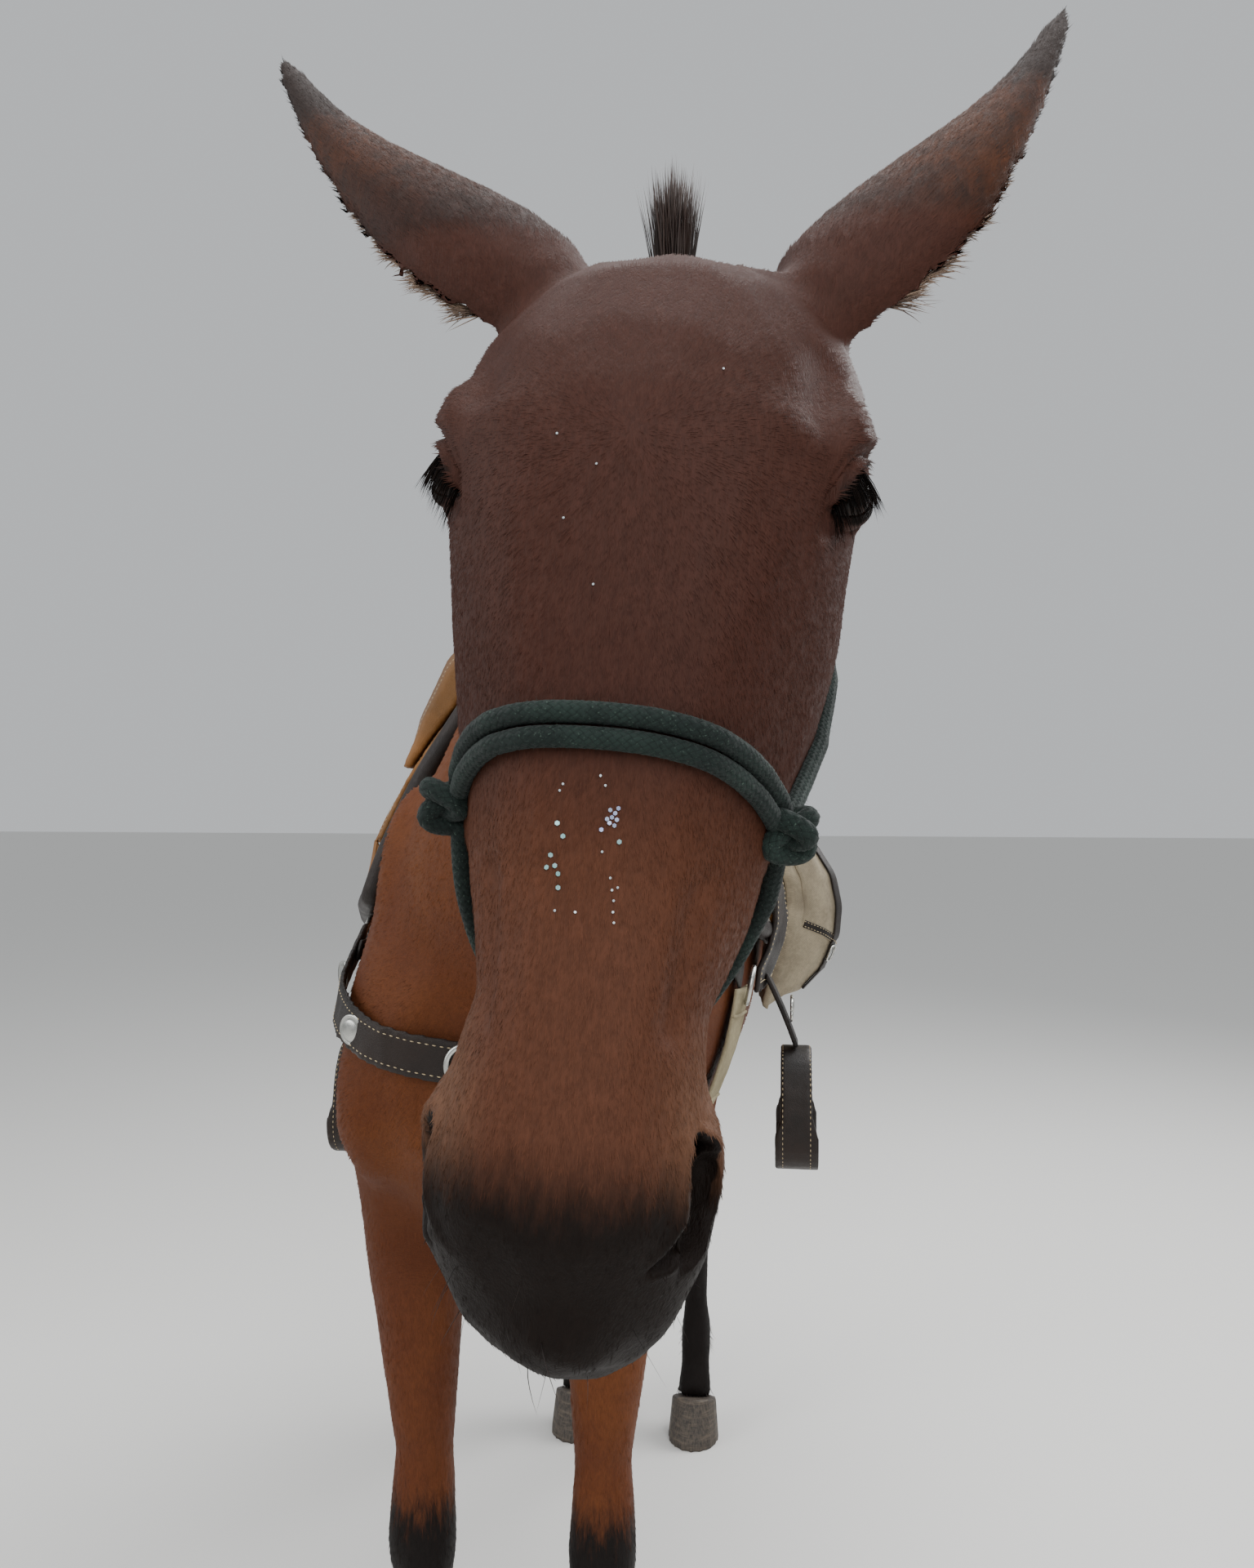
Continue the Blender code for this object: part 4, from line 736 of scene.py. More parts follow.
def setPlaces(bm, places, wrap=None):
    for vert, place in zip(bm.verts, places):
        vert.co = place
    if wrap is not None:
        layer = bm.verts.layers.float_vector.new("wrap")
        for vert, value in zip(bm.verts, wrap):
            vert[layer] = value


def closeShape(bm):
    bmesh.ops.remove_doubles(bm, verts=bm.verts, dist=0.00001)
    bmesh.ops.holes_fill(bm, edges=[edge for edge in bm.edges if edge.is_boundary], sides=0)
    bmesh.ops.recalc_face_normals(bm, faces=bm.faces)
    return bm


def tube(points, radius, sides, relief=None, squash=1.0):
    # A tube whose vertices carry (cosine, sine, run in metres); relief changes its radius
    centres = np.asarray(points, dtype=float)
    across, rise = pathFrames(centres)
    bm, spots = gridShape(sides, len(centres) - 1)
    row = np.rint(spots[:, 1] * (len(centres) - 1)).astype(int)
    run = runsAlong(centres)[row]
    angle = spots[:, 0] * 2 * math.pi
    size = np.full(len(row), radius)
    if relief is not None:
        size = size * (1.0 + relief(angle, run))
    places = (centres[row] + across[row] * (size * np.cos(angle))[:, None]
              + rise[row] * (size * squash * np.sin(angle))[:, None])
    setPlaces(bm, places, np.column_stack((np.cos(angle), np.sin(angle), run)))
    return closeShape(bm)


def gather(name, parts, material=None, smooth=True):  # several shapes become one object
    whole = bmesh.new()
    for part in parts:
        mesh = bpy.data.meshes.new("part")
        part.to_mesh(mesh)
        part.free()
        whole.from_mesh(mesh)
        bpy.data.meshes.remove(mesh)
    return newObject(name, whole, material, smooth)


def cast(tree, origin, target, lift):
    direction = (target - origin).normalized()
    hit, normal, _, _ = tree.ray_cast(origin, direction)
    return hit + normal * lift


def settle(points, tree, distance):  # eases a rope and keeps it its distance off the skin
    points = [Vector(point) for point in points]
    for _ in range(3):
        for i in range(1, len(points) - 1):
            points[i] = (points[i - 1] + points[i] * 2 + points[i + 1]) / 4
        for i, point in enumerate(points):
            nearest, normal, _, _ = tree.find_nearest(point)
            away = point - nearest
            if away.dot(normal) < distance:
                points[i] = nearest + normal * distance
    return points


# Halter

halter = {
    "ropeRadius": 0.0048,
    "lift": 0.0026,  # above the CAD head; the skin lies a little under it
    "gap": 0.0012,
    "strands": 9,
    "step": 0.0016,
    "sides": 27,
    "bandTop": 0.2545,
    "bandSide": 0.284,
    "noseKnot": (0.288, -0.074),
    "cheekKnot": (0.136, -0.238),
    "chinKnot": 0.43,
    "crown": (0.0, 0.06, -0.2),
    "throat": (0.0, 0.125, -0.205),
    "cheekRoute": ((0.284, -0.084), (0.262, -0.114), (0.24, -0.14), (0.215, -0.166), (0.19, -0.188),
                   (0.164, -0.212), (0.14, -0.234)),
    "chinRoute": ((0.298, -0.09), (0.319, -0.112), (0.34, -0.125), (0.362, -0.138), (0.385, -0.15),
                  (0.405, -0.156), (0.425, -0.16)),
    "chinRouteRight": ((0.298, -0.076), (0.319, -0.08), (0.34, -0.088), (0.362, -0.104), (0.385, -0.128),
                       (0.405, -0.148), (0.425, -0.16)),
}


def braid(angle, run, strands, pitch):  # height of a plain braid from 0 to 1
    first = angle * strands / (2 * math.pi) + run / pitch
    second = angle * strands / (2 * math.pi) - run / pitch
    over = (np.floor(first) + np.floor(second)) % 2 == 0
    return np.sqrt(np.abs(np.sin(math.pi * np.where(over, first, second))))


def ropeRelief(angle, run):
    pitch = 2 * math.pi * halter["ropeRadius"] / halter["strands"]
    return 0.13 * (braid(angle, run, halter["strands"], pitch * 1.25) - 0.6)


def ropeMaterial():
    # Polyester halter rope: a tight braid of dull dark green yarn with pale flecks and a soft fuzz
    made, add, shader = newMaterial("braidedPolyester", 0.85, gloss=0.2)
    feed(shader, {"Sheen Weight": 0.06})
    place = add("TexCoord", (), "Object")
    wrap = add("Attribute", (), "Vector", attribute_name="wrap")
    cosine, sine, run = add("SeparateXYZ", (wrap,), None)
    angle = add("Math", (sine, cosine), operation="ARCTAN2")
    turns = add("Math", (angle, halter["strands"] / (2 * math.pi)), operation="MULTIPLY")
    pitch = 2 * math.pi * halter["ropeRadius"] / halter["strands"] * 1.25
    rows = add("Math", (run, pitch), operation="DIVIDE")
    lays = [add("Math", (turns, rows), operation=way) for way in ("ADD", "SUBTRACT")]
    floors = [add("Math", (lay,), operation="FLOOR") for lay in lays]
    both = add("Math", floors, operation="ADD")
    checks = add("Math", (both, 2.0), operation="FLOORED_MODULO")
    over = add("Math", (checks, 0.5), operation="LESS_THAN")
    chosen = add("Mix", {0: over, 2: lays[1], 3: lays[0]})
    waves = []
    for rate in (math.pi, math.pi * 4):
        phase = add("Math", (chosen, rate), operation="MULTIPLY")
        wave = add("Math", (phase,), operation="SINE")
        waves.append(add("Math", (wave,), operation="ABSOLUTE"))
    dome, yarn = waves
    flecks, wear = [add("TexNoise", {"Vector": place, "Scale": 1 / size, "Detail": detail,
                                     "Roughness": rough})
                    for size, detail, rough in ((0.0011, 2.0, 0.6), (0.03, 3.0, 0.55))]
    # painted shade: the low places between the braid's strands are darkened towards near black
    braidGapShade = add("MapRange", (dome, 0.0, 0.55, 0.75, 0.0), **eased)
    colour = layColours(add, "#18211e", (
        (add("MapRange", (wear, 0.35, 0.7), **eased), "#222f2a"),
        (add("MapRange", (flecks, 0.6, 0.78), **eased), "#4a5a50"), (braidGapShade, "#0a100f")))
    height = add("Math", (flecks, 0.4), operation="MULTIPLY")
    for part, share in ((yarn, 0.2), (dome, 0.7)):
        height = add("Math", (part, share, height), operation="MULTIPLY_ADD")
    feed(shader, {"Base Color": colour, "Normal": add("Bump", {"Height": height, "Distance": 0.0006,
                                                               "Strength": 0.8})})
    return made


def trefoil(place, turn, size):  # the path of a snug overhand knot
    points = []
    for t in np.linspace(0, 2 * math.pi, 61):
        local = Vector((math.sin(t) + 2 * math.sin(2 * t), math.cos(t) - 2 * math.cos(2 * t),
                        -2.4 * math.sin(3 * t)))
        points.append(place + turn @ (local * size))
    return points


def makeHalter(headTree):
    radius, lift = halter["ropeRadius"], halter["lift"]

    def onCheek(side, along, above, gap):  # a place on one side of the head
        return cast(headTree, headPoint(side * 0.3, along, above), headPoint(0.0, along, above), gap)

    routes = []
    for band in (0.0, 2 * radius + halter["gap"]):
        points = []
        for angle in np.radians(np.linspace(-86, 86, 45)):
            along = halter["bandSide"] + band + (halter["bandTop"] - halter["bandSide"]) * math.cos(angle)
            start = headPoint(0.3 * math.sin(angle), along, -0.09 + 0.3 * math.cos(angle))
            points.append(cast(headTree, start, headPoint(0.0, along, -0.09), lift))
        routes.append(points)
    ends = [onCheek(side, *halter["cheekKnot"], lift + 0.004) for side in (-1, 1)]
    for centre, second, reach in ((halter["crown"], (0.0, -1.0, 0.0), 108),
                                  (halter["throat"], (0.0, 0.55, -0.83), 88)):
        points = []
        for angle in np.radians(np.linspace(-reach, reach, 41)):
            offset = Vector((math.sin(angle), 0, 0)) + Vector(second) * math.cos(angle)
            start = headPoint(*(Vector(centre) + offset * 0.3))
            points.append(cast(headTree, start, headPoint(*centre), lift))
        routes.append([ends[0]] + points + [ends[1]])
    for side, chinRoute in ((-1, "chinRouteRight"), (1, "chinRoute")):
        for route in (halter["cheekRoute"], halter[chinRoute]):
            routes.append([onCheek(side, s, h, lift) for s, h in route])
    material = ropeMaterial()
    parts = []
    for route in routes:
        path = curveThrough(settle(curveThrough(route, 0.008), headTree, lift), halter["step"])
        parts.append(tube(path, radius, halter["sides"], ropeRelief))
    ride(gather("halterRopes", parts, material), "noseband_upper", "noseband_lower", "crown_rope",
         "throat_rope", "cheek_rope_left", "cheek_rope_right", "chin_rope_left", "chin_rope_right",
         slot="rope")
    knots = []
    for side in (-1, 1):
        for (s, h), size, share in ((halter["noseKnot"], 0.0036, 1.1), (halter["cheekKnot"], 0.0024, 0.8)):
            away = (headPoint(side * 0.3, s, h) - headPoint(0.0, s, h)).normalized()
            across = headDirection(0.0, -1.0, 0.25).cross(away).normalized()
            turn = Matrix((across, away.cross(across), away)).transposed()
            knots.append((onCheek(side, s, h, 2.3 * size), turn, size, radius * share))
    chin = halter["chinKnot"]
    place = cast(headTree, headPoint(0.0, chin, -0.4), headPoint(0.0, chin, -0.1), 0.008)
    knots.append((place, headFrame.to_3x3(), 0.003, radius))
    tied = [tube(curveThrough(trefoil(place, turn, size), halter["step"]), thick, halter["sides"], ropeRelief)
            for place, turn, size, thick in knots]
    ride(gather("halterKnots", tied, material), "nose_knot_left", "nose_knot_right", "cheek_knot_left",
         "cheek_knot_right", "chin_knot", slot="rope")


makeHalter(nodeTree("head", "neck"))
print("halter made")


# Eyes

def eyeMaterial():
    # Cornea over a brown-black iris: wet and glossy, with a wide level pupil and a dull brown white
    made, add, shader = newMaterial("wetEye", 0.09, ior=1.376, gloss=0.08)
    feed(shader, {"Coat Weight": 0.26, "Coat Roughness": 0.02})
    gaze = add("Attribute", (), "Vector", attribute_name="wrap")
    flat = add("VectorMath", (gaze, (1.0, 1.0, 0.0)), operation="MULTIPLY")
    wide = add("VectorMath", (flat, (0.62, 1.7, 1.0)), operation="MULTIPLY")
    radius, pupil = [add("VectorMath", (part,), "Value", operation="LENGTH") for part in (flat, wide)]
    spokes = add("TexNoise", {"Vector": flat, "Scale": 1 / 0.05, "Detail": 4.0, "Roughness": 0.7,
                              "Distortion": 1.5})
    layers = ((spokes, 0.3, 0.7, "#2a170c"), (radius, 0.7, 0.8, "#0f0b09"), (radius, 0.82, 0.94, "#241a15"),
              (pupil, 0.44, 0.34, "#050505"))
    feed(shader, {"Base Color": layColours(add, "#120a06", [
        (add("MapRange", (value, low, high), **eased), code) for value, low, high, code in layers])})
    return made


def makeEyes():
    material = eyeMaterial()
    for side, word in bothSides:
        bm = bmesh.new()
        bmesh.ops.create_uvsphere(bm, u_segments=48, v_segments=32, radius=1.0)
        layer = bm.verts.layers.float_vector.new("wrap")
        centre = headPoint(side * eye["centre"][0], *eye["centre"][1:])
        longAxis, shortAxis, outward = [headDirection(side * axis.x, axis.y, axis.z) for axis in eyeAxes()]
        for vert in bm.verts:
            spot = vert.co.copy()
            vert[layer] = spot
            bulge = 1.0 + 0.035 * max(0.0, (spot.z - 0.8) / 0.2)**0.8  # the cornea stands a little proud
            vert.co = centre + (longAxis * spot.x + shortAxis * spot.y + outward * spot.z) \
                * (eye["radius"] * bulge)
        bm.normal_update()
        bmesh.ops.recalc_face_normals(bm, faces=bm.faces)
        ride(newObject("eyeball_" + word, bm, material), "eye_" + word, slot="eye")


makeEyes()
print("eyes made")


# Hair

coatHair = {  # how many tufts, their length, half width and lift in metres
    "face": (36000, 0.0052, 0.00055, 0.00055),
    "ears": (11000, 0.007, 0.0007, 0.0008),
    "neck": (24000, 0.012, 0.00135, 0.001),
    "body": (24000, 0.015, 0.0017, 0.0012),
    "legs": (22000, 0.009, 0.001, 0.001),
}


def unwrap(points):  # the skin's own layout: head, body and four legs each on a part of the sheet
    local = toHead(points)
    world = inStance(points)
    headU = np.arctan2(local[:, 0], local[:, 2] + 0.13) / (2 * math.pi) + 0.5
    headV = (local[:, 1] + 0.35) / 0.95
    bodyU = np.arctan2(world[:, 0], world[:, 2] - 1.12) / (2 * math.pi) + 0.5
    bodyV = (world[:, 1] + 0.75) / 2.2
    centre = np.column_stack((0.11 * np.sign(world[:, 0]), np.where(world[:, 1] > 0.6, 1.15, 0.0)))
    legU = np.arctan2(world[:, 0] - centre[:, 0], world[:, 1] - centre[:, 1]) / (2 * math.pi) + 0.5
    legU = legU * 0.22 + 0.25 * (2 * (world[:, 1] > 0.6) + (world[:, 0] > 0))
    onHead = (local[:, 2] > -0.36) & (local[:, 1] < 0.65)
    onLeg = (world[:, 2] < 0.82) & ~onHead
    u = np.where(onHead, headU * 0.48, np.where(onLeg, legU, 0.5 + bodyU * 0.48))
    v = np.where(onHead, 0.36 + headV * 0.62, np.where(onLeg, world[:, 2] * 0.4, 0.36 + bodyV * 0.62))
    return np.clip(np.column_stack((u, v)), 0.001, 0.996)


def strands(name, paths, radii, across, material, sides=3, thin=0.35, facing=None):
    # Flat tufts along paths (n, k, 3) that end in a point; each is closed and has its patch of OFBake
    count, steps = radii.shape
    rings = steps - 1
    tangents = normalise(np.gradient(paths, axis=1))
    wide = np.broadcast_to(across[:, None, :], paths.shape)
    wide = normalise(wide - tangents * np.sum(wide * tangents, axis=2, keepdims=True))
    deep = np.cross(tangents, wide)
    angles = 2 * math.pi * np.arange(sides) / sides + math.pi / 2  # one edge faces up
    size = radii[:, :rings, None, None]
    rim = (paths[:, :rings, None, :] + wide[:, :rings, None, :] * (size * np.cos(angles)[:, None])
           + deep[:, :rings, None, :] * (size * thin * np.sin(angles)[:, None]))
    points = np.concatenate((rim.reshape(count, -1, 3), paths[:, -1:, :]), axis=1)
    each = rings * sides + 1
    faces = [[s for s in reversed(range(sides))]]
    for s in range(sides):
        n = (s + 1) % sides
        faces += [(k * sides + s, k * sides + n, (k + 1) * sides + n, (k + 1) * sides + s)
                  for k in range(rings - 1)]
        faces.append(((rings - 1) * sides + s, (rings - 1) * sides + n, rings * sides))
    pattern = np.concatenate([np.array(face) for face in faces])
    corners = (pattern[None, :] + (np.arange(count) * each)[:, None]).ravel()
    sizes = np.tile([len(face) for face in faces], count)
    mesh = bpy.data.meshes.new(name)
    mesh.vertices.add(count * each)
    mesh.vertices.foreach_set("co", points.astype(np.float32).ravel())
    mesh.loops.add(len(corners))
    mesh.loops.foreach_set("vertex_index", corners.astype(np.int32))
    mesh.polygons.add(len(sizes))
    mesh.polygons.foreach_set("loop_start", np.concatenate(([0], np.cumsum(sizes)[:-1])).astype(np.int32))
    mesh.update(calc_edges=True)
    base = paths[:, 0, :]
    paint(mesh, base, each)
    along = np.append(np.repeat(np.arange(rings) / (steps - 1), sides), 1.0)
    around = np.append(np.tile(np.arange(sides) / sides, rings), 0.5)
    patch = np.column_stack((around, along)) * 0.003
    sheet = np.repeat(unwrap(base), each, axis=0) + np.tile(patch, (count, 1))
    layer = mesh.uv_layers.new(name="OFBake")
    layer.data.foreach_set("uv", sheet[corners].astype(np.float32).ravel())
    setAttribute(mesh, "run", "FLOAT", np.tile(along, count))
    made = placeMesh(name, mesh, material)
    if facing is not None:  # short tufts take the light as the skin below them does
        mesh.normals_split_custom_set_from_vertices(np.repeat(facing, each, axis=0))
    return made


def scatter(rng, mesh, density, count=None):  # random places on a mesh, so many per square metre
    mesh.calc_loop_triangles()
    corners = np.empty(len(mesh.loop_triangles) * 3, dtype=np.int32)
    mesh.loop_triangles.foreach_get("vertices", corners)
    corners = corners.reshape(-1, 3)
    points, out = positions(mesh), normals(mesh)
    a, b, c = points[corners[:, 0]], points[corners[:, 1]], points[corners[:, 2]]
    area = np.linalg.norm(np.cross(b - a, c - a), axis=1) / 2
    wanted = area * density((a + b + c) / 3)
    count = int(wanted.sum()) if count is None else count
    chosen = rng.choice(len(wanted), size=count, p=wanted / wanted.sum())
    mixing = np.sqrt(rng.random(count))
    second = rng.random(count)
    weights = np.column_stack((1 - mixing, mixing * (1 - second), mixing * second))
    picked = corners[chosen]
    spots = np.einsum("nk,nkd->nd", weights, points[picked])
    facing = np.einsum("nk,nkd->nd", weights, out[picked])
    return spots, facing / np.linalg.norm(facing, axis=1)[:, None]


def hairFlow(points, facing):  # the way the coat lies at each point
    local, world = toHead(points), inStance(points)
    face = normalise((local - (0.0, 0.12, 0.0)) @ headTurn.T)  # away from the whorl on the forehead
    root = np.column_stack((0.076 * np.sign(local[:, 0]), np.full(len(local), 0.01),
                            np.full(len(local), -0.115)))
    ear = normalise((local - root) @ headTurn.T)
    neck, body, leg = np.array(((-0.2, 0.8, -0.6), (0.0, 0.92, -0.4), (0.0, 0.12, -1.0)))
    onEar = earWeight(local)[:, None]
    onHead = (smoothStep(-0.4, -0.28, local[:, 2]) * (local[:, 1] < 0.65))[:, None]
    onLeg = (1.0 - smoothStep(0.72, 0.95, world[:, 2]))[:, None]
    behind = smoothStep(-0.25, 0.05, world[:, 1])[:, None]
    flow = neck * (1 - behind) + body * behind
    for weight, way in ((onLeg, leg), (onHead, face), (onEar, ear)):
        flow = flow * (1 - weight) + way * weight
    return normalise(flow - facing * np.sum(flow * facing, axis=1)[:, None])


def layTufts(rng, name, kind, where, material):
    count, length, width, lift = coatHair[kind]
    spots, facing = scatter(rng, muleSkin.data, where, count)
    flow = hairFlow(spots, facing)
    across = np.cross(facing, flow)
    flow = normalise(flow + across * rng.normal(0, 0.13, len(spots))[:, None])
    size = rng.uniform(0.7, 1.25, len(spots))[:, None]
    rise = rng.uniform(0.5, 1.4, len(spots))[:, None] * lift
    sunk = width * 0.4 + 0.00015
    paths = np.stack((spots - facing * sunk, spots + flow * length * size + facing * rise), axis=1)
    radii = np.ones((len(spots), 2)) * width * size
    ride(strands(name, paths, radii, across, material, facing=facing), slot="coat")


def onFace(points):
    local = toHead(points)
    inside = (local[:, 2] > -0.33) & (local[:, 1] < 0.62) & (local[:, 1] > -0.03)
    gap = np.linalg.norm(foldHead(local) - eye["centre"], axis=1)
    bare = smoothStep(0.44, 0.475, local[:, 1])
    front = 0.35 + 0.65 * smoothStep(-0.16, -0.06, local[:, 2])
    return inside * (gap > 0.024) * (1 - bare * 0.85) * front * (insideNostril(foldHead(local)) < 0.1)


def onEars(points):
    local = toHead(points)
    return (local[:, 1] <= -0.03) & (local[:, 2] > -0.33)


def onNeck(points):
    world = inStance(points)
    return (toHead(points)[:, 2] <= -0.33) & (world[:, 1] < 0.16) & (world[:, 2] > 0.8)


def onBody(points):
    world = inStance(points)
    return (world[:, 1] >= 0.16) & (world[:, 2] > 0.8)


def onLegs(points):
    world = inStance(points)
    return (world[:, 2] <= 0.8) & (world[:, 2] > 0.06)


def growCoat():
    rng = np.random.default_rng(11)
    material = coatMaterial("shortBayHair", depth=0.0)
    for side, word in bothSides:
        def half(where):
            return lambda points: where(points) * (toHead(points)[:, 0] * side > 0)

        def flank(where):
            return lambda points: where(points) * ((points[:, 0] - shift.x) * side > 0)

        layTufts(rng, "faceCoat_" + word, "face", half(onFace), material)
        layTufts(rng, "earCoat_" + word, "ears", half(onEars), material)
        layTufts(rng, "neckCoat_" + word, "neck", half(onNeck), material)
        layTufts(rng, "bodyCoat_" + word, "body", flank(onBody), material)
    layTufts(rng, "legCoat", "legs", onLegs, material)


growCoat()
print("coat laid")


# Long hair

def hairMaterial(name, roughness, gloss, shade=1.0):
    # Coarse mule hair: near black, a little rusty towards the tips, with a dull gloss
    made, add, shader = newMaterial(name, roughness, ior=1.55, gloss=gloss)
    run = add("Attribute", (), "Fac", attribute_name="run")
    lie = add("Attribute", (), "Vector", attribute_name="lie")
    tone = add("TexNoise", {"Vector": lie, "Scale": 1 / 0.004, "Detail": 2.0, "Roughness": 0.55})
    feed(shader, {"Base Color": layColours(add, "#100c0b", (
        (add("MapRange", (tone, 0.35, 0.7), **eased), "#2a1d17"),
        (add("Math", (run, 0.35 * shade), operation="MULTIPLY"), "#43291c"), (1.0 - shade, "#080605")))})
    return made


longHair = hairMaterial("coarseBlackHair", 0.5, 0.25)
deepHair = hairMaterial("blackHairInShade", 0.8, 0.06, 0.35)  # lashes, and the mass under the locks


def spring(rng, roots, directions, lengths, width, bend, droop=0.0):
    # Paths of loose hairs from roots, each with its own slight bend
    sway = rng.normal(0, bend, roots.shape)
    t = np.linspace(0, 1, 5)[None, :, None]
    paths = (roots[:, None, :] + directions[:, None, :] * lengths[:, None, None] * t
             + sway[:, None, :] * lengths[:, None, None] * t**2
             - np.array((0, 0, 1.0)) * (droop * lengths)[:, None, None] * t**2)
    taper = np.array((1.0, 1.1, 0.9, 0.6, 0.08))
    return paths, width * taper * rng.uniform(0.7, 1.25, (len(roots), 1))


def growLoose(rng, name, groups, width, bend, material, droop=0.0):
    # Loose hairs from groups of roots, directions and lengths, each turned at random
    roots, directions, lengths = [np.concatenate(part) for part in zip(*groups)]
    paths, radii = spring(rng, roots, directions, lengths, width, bend, droop)
    ride(strands(name, paths, radii, normalise(rng.normal(0, 1, roots.shape)), material))


tuft = {"base": (-0.003, -0.005, -0.12), "count": 420, "height": 0.083, "root": 0.0075}


def makeTuft():  # the clipped forelock that stands between the ears
    rng = np.random.default_rng(3)
    base = np.array(headPoint(*tuft["base"])) - (0, 0, 0.012)
    turn = rng.uniform(0, 2 * math.pi, tuft["count"])
    reach = np.sqrt(rng.random(tuft["count"]))
    around = np.column_stack((np.cos(turn) * reach, 0.75 * np.sin(turn) * reach, np.zeros(len(turn))))
    roots = base + around * tuft["root"]
    leaning = np.array((0.0, 0.0, 1.0)) + around * 0.1 + rng.normal(0, 0.018, around.shape)
    lengths = (tuft["height"] + 0.012) * (1.0 - 0.16 * rng.random(len(turn)) - 0.1 * reach**2)
    paths, radii = spring(rng, roots, normalise(leaning), lengths, 0.0008, 0.035)
    ride(strands("forelockTuft", paths, radii, normalise(np.cross(around + (0.01, 0, 0), (0, 0, 1.0))),
                 longHair))


mane = {"count": 3500, "height": 0.054, "halfWidth": 0.0085, "start": 0.03, "stop": 0.86}


def makeMane():  # roached: clipped short and upright, a little thinner at both ends
    rng = np.random.default_rng(5)
    places = rng.uniform(mane["start"], mane["stop"], mane["count"])
    crest, tangent, side, rise = crestAt(places)
    across = rng.uniform(-1, 1, len(places))
    roots = crest + side * (across * mane["halfWidth"])[:, None] - rise * 0.012
    leaning = rise + side * (across * 0.22)[:, None] + rng.normal(0, 0.07, roots.shape)
    ends = smoothStep(mane["start"], mane["start"] + 0.08, places) \
        * (1 - smoothStep(mane["stop"] - 0.12, mane["stop"], places))
    wave = 0.94 + 0.06 * np.sin(places * 61) + rng.uniform(-0.1, 0.02, len(places))
    lengths = (mane["height"] * wave * (1 - 0.12 * across**2)) * (0.55 + 0.45 * ends) + 0.012
    paths, radii = spring(rng, roots, normalise(leaning), lengths, 0.001, 0.08)
    ride(strands("roachedMane", paths, radii, tangent, longHair))


tail = {
    "dock": ((0.0, 1.225, 1.385), (0.0, 1.3, 1.345), (0.0, 1.345, 1.24), (0.0, 1.358, 1.11),
             (0.0, 1.36, 0.98)),
    "dockRadii": (0.046, 0.04, 0.033, 0.025, 0.012),
    "spread": ((1.3, 0.04), (1.1, 0.054), (0.9, 0.068), (0.65, 0.056), (0.36, 0.02)),
    "centreY": 1.365,
    "locks": 84,
    "hairs": 30,
}


def makeTail():
    rng = np.random.default_rng(7)
    line = curveThrough(np.array(tail["dock"]), 0.004)
    keys, spots, steps = np.linspace(0, 1, 5), np.linspace(0, 1, len(line)), np.linspace(0, 1, 8)
    heights, spreads = np.array(tail["spread"])[::-1].T
    swell = 0.006 + 0.011 * np.sin(math.pi * np.clip(steps * 1.2, 0, 1)) * (1 - 0.6 * steps)
    paths, radii, sides = [], [], []
    for index in range(tail["locks"]):
        place = 0.06 + 0.9 * (index + 0.5) / tail["locks"]
        root = placeAlong(place, spots, line)[0]
        radius = np.interp(place, keys, tail["dockRadii"])
        turn = 2.39996 * index + rng.uniform(-0.3, 0.3)  # the golden angle spreads the locks evenly
        tip = 0.37 + 0.38 * rng.random()**2.0
        within = rng.uniform(0.35, 1.0)
        level = root[2] - (root[2] - tip) * steps**0.95
        turns = turn + np.cumsum(rng.uniform(-0.1, 0.1, 8))
        spread = np.maximum(np.interp(level, heights, spreads) * within, radius * 1.05 * (1 - steps))
        spread[0] = radius * 0.7
        centreY = root[1] + (tail["centreY"] - root[1]) * np.minimum(steps * 2, 1.0)
        spine = np.column_stack((spread * np.cos(turns), centreY + 0.8 * spread * np.sin(turns), level))
        for _ in range(tail["hairs"]):
            angle, reach = rng.uniform(0, 2 * math.pi), math.sqrt(rng.random())
            offset = np.array((math.cos(angle), math.sin(angle), 0.0)) * reach
            path = placeAlong(steps * rng.uniform(0.72, 1.0), steps, spine)
            wave = 0.003 * np.sin(steps * rng.uniform(5, 9) + angle)
            path += offset * swell[:, None] + np.column_stack((wave, wave * 0.5, 0 * wave))
            paths.append(path)
            radii.append(rng.uniform(0.001, 0.0019) * np.array((0.8, 1.0, 1.05, 1.0, 0.9, 0.75, 0.5, 0.08)))
            sides.append((-offset[1], offset[0], 0.001))
    paths = np.array(paths) + np.array(shift)
    ride(strands("tailHair", paths, np.array(radii), normalise(np.array(sides)), longHair))
    under = voxelSkin(newObject("tailUnder", nodeCopy("tail"), deepHair), 0.0095)
    relax(under.data, 6)
    points, out = positions(under.data), normals(under.data)
    moveTo(under.data, points - out * 0.005)
    setAttribute(under.data, "lie", "FLOAT_VECTOR", positions(under.data) * (1.0, 1.0, 0.1))
    under.data.shade_smooth()
    ride(under, "tail")


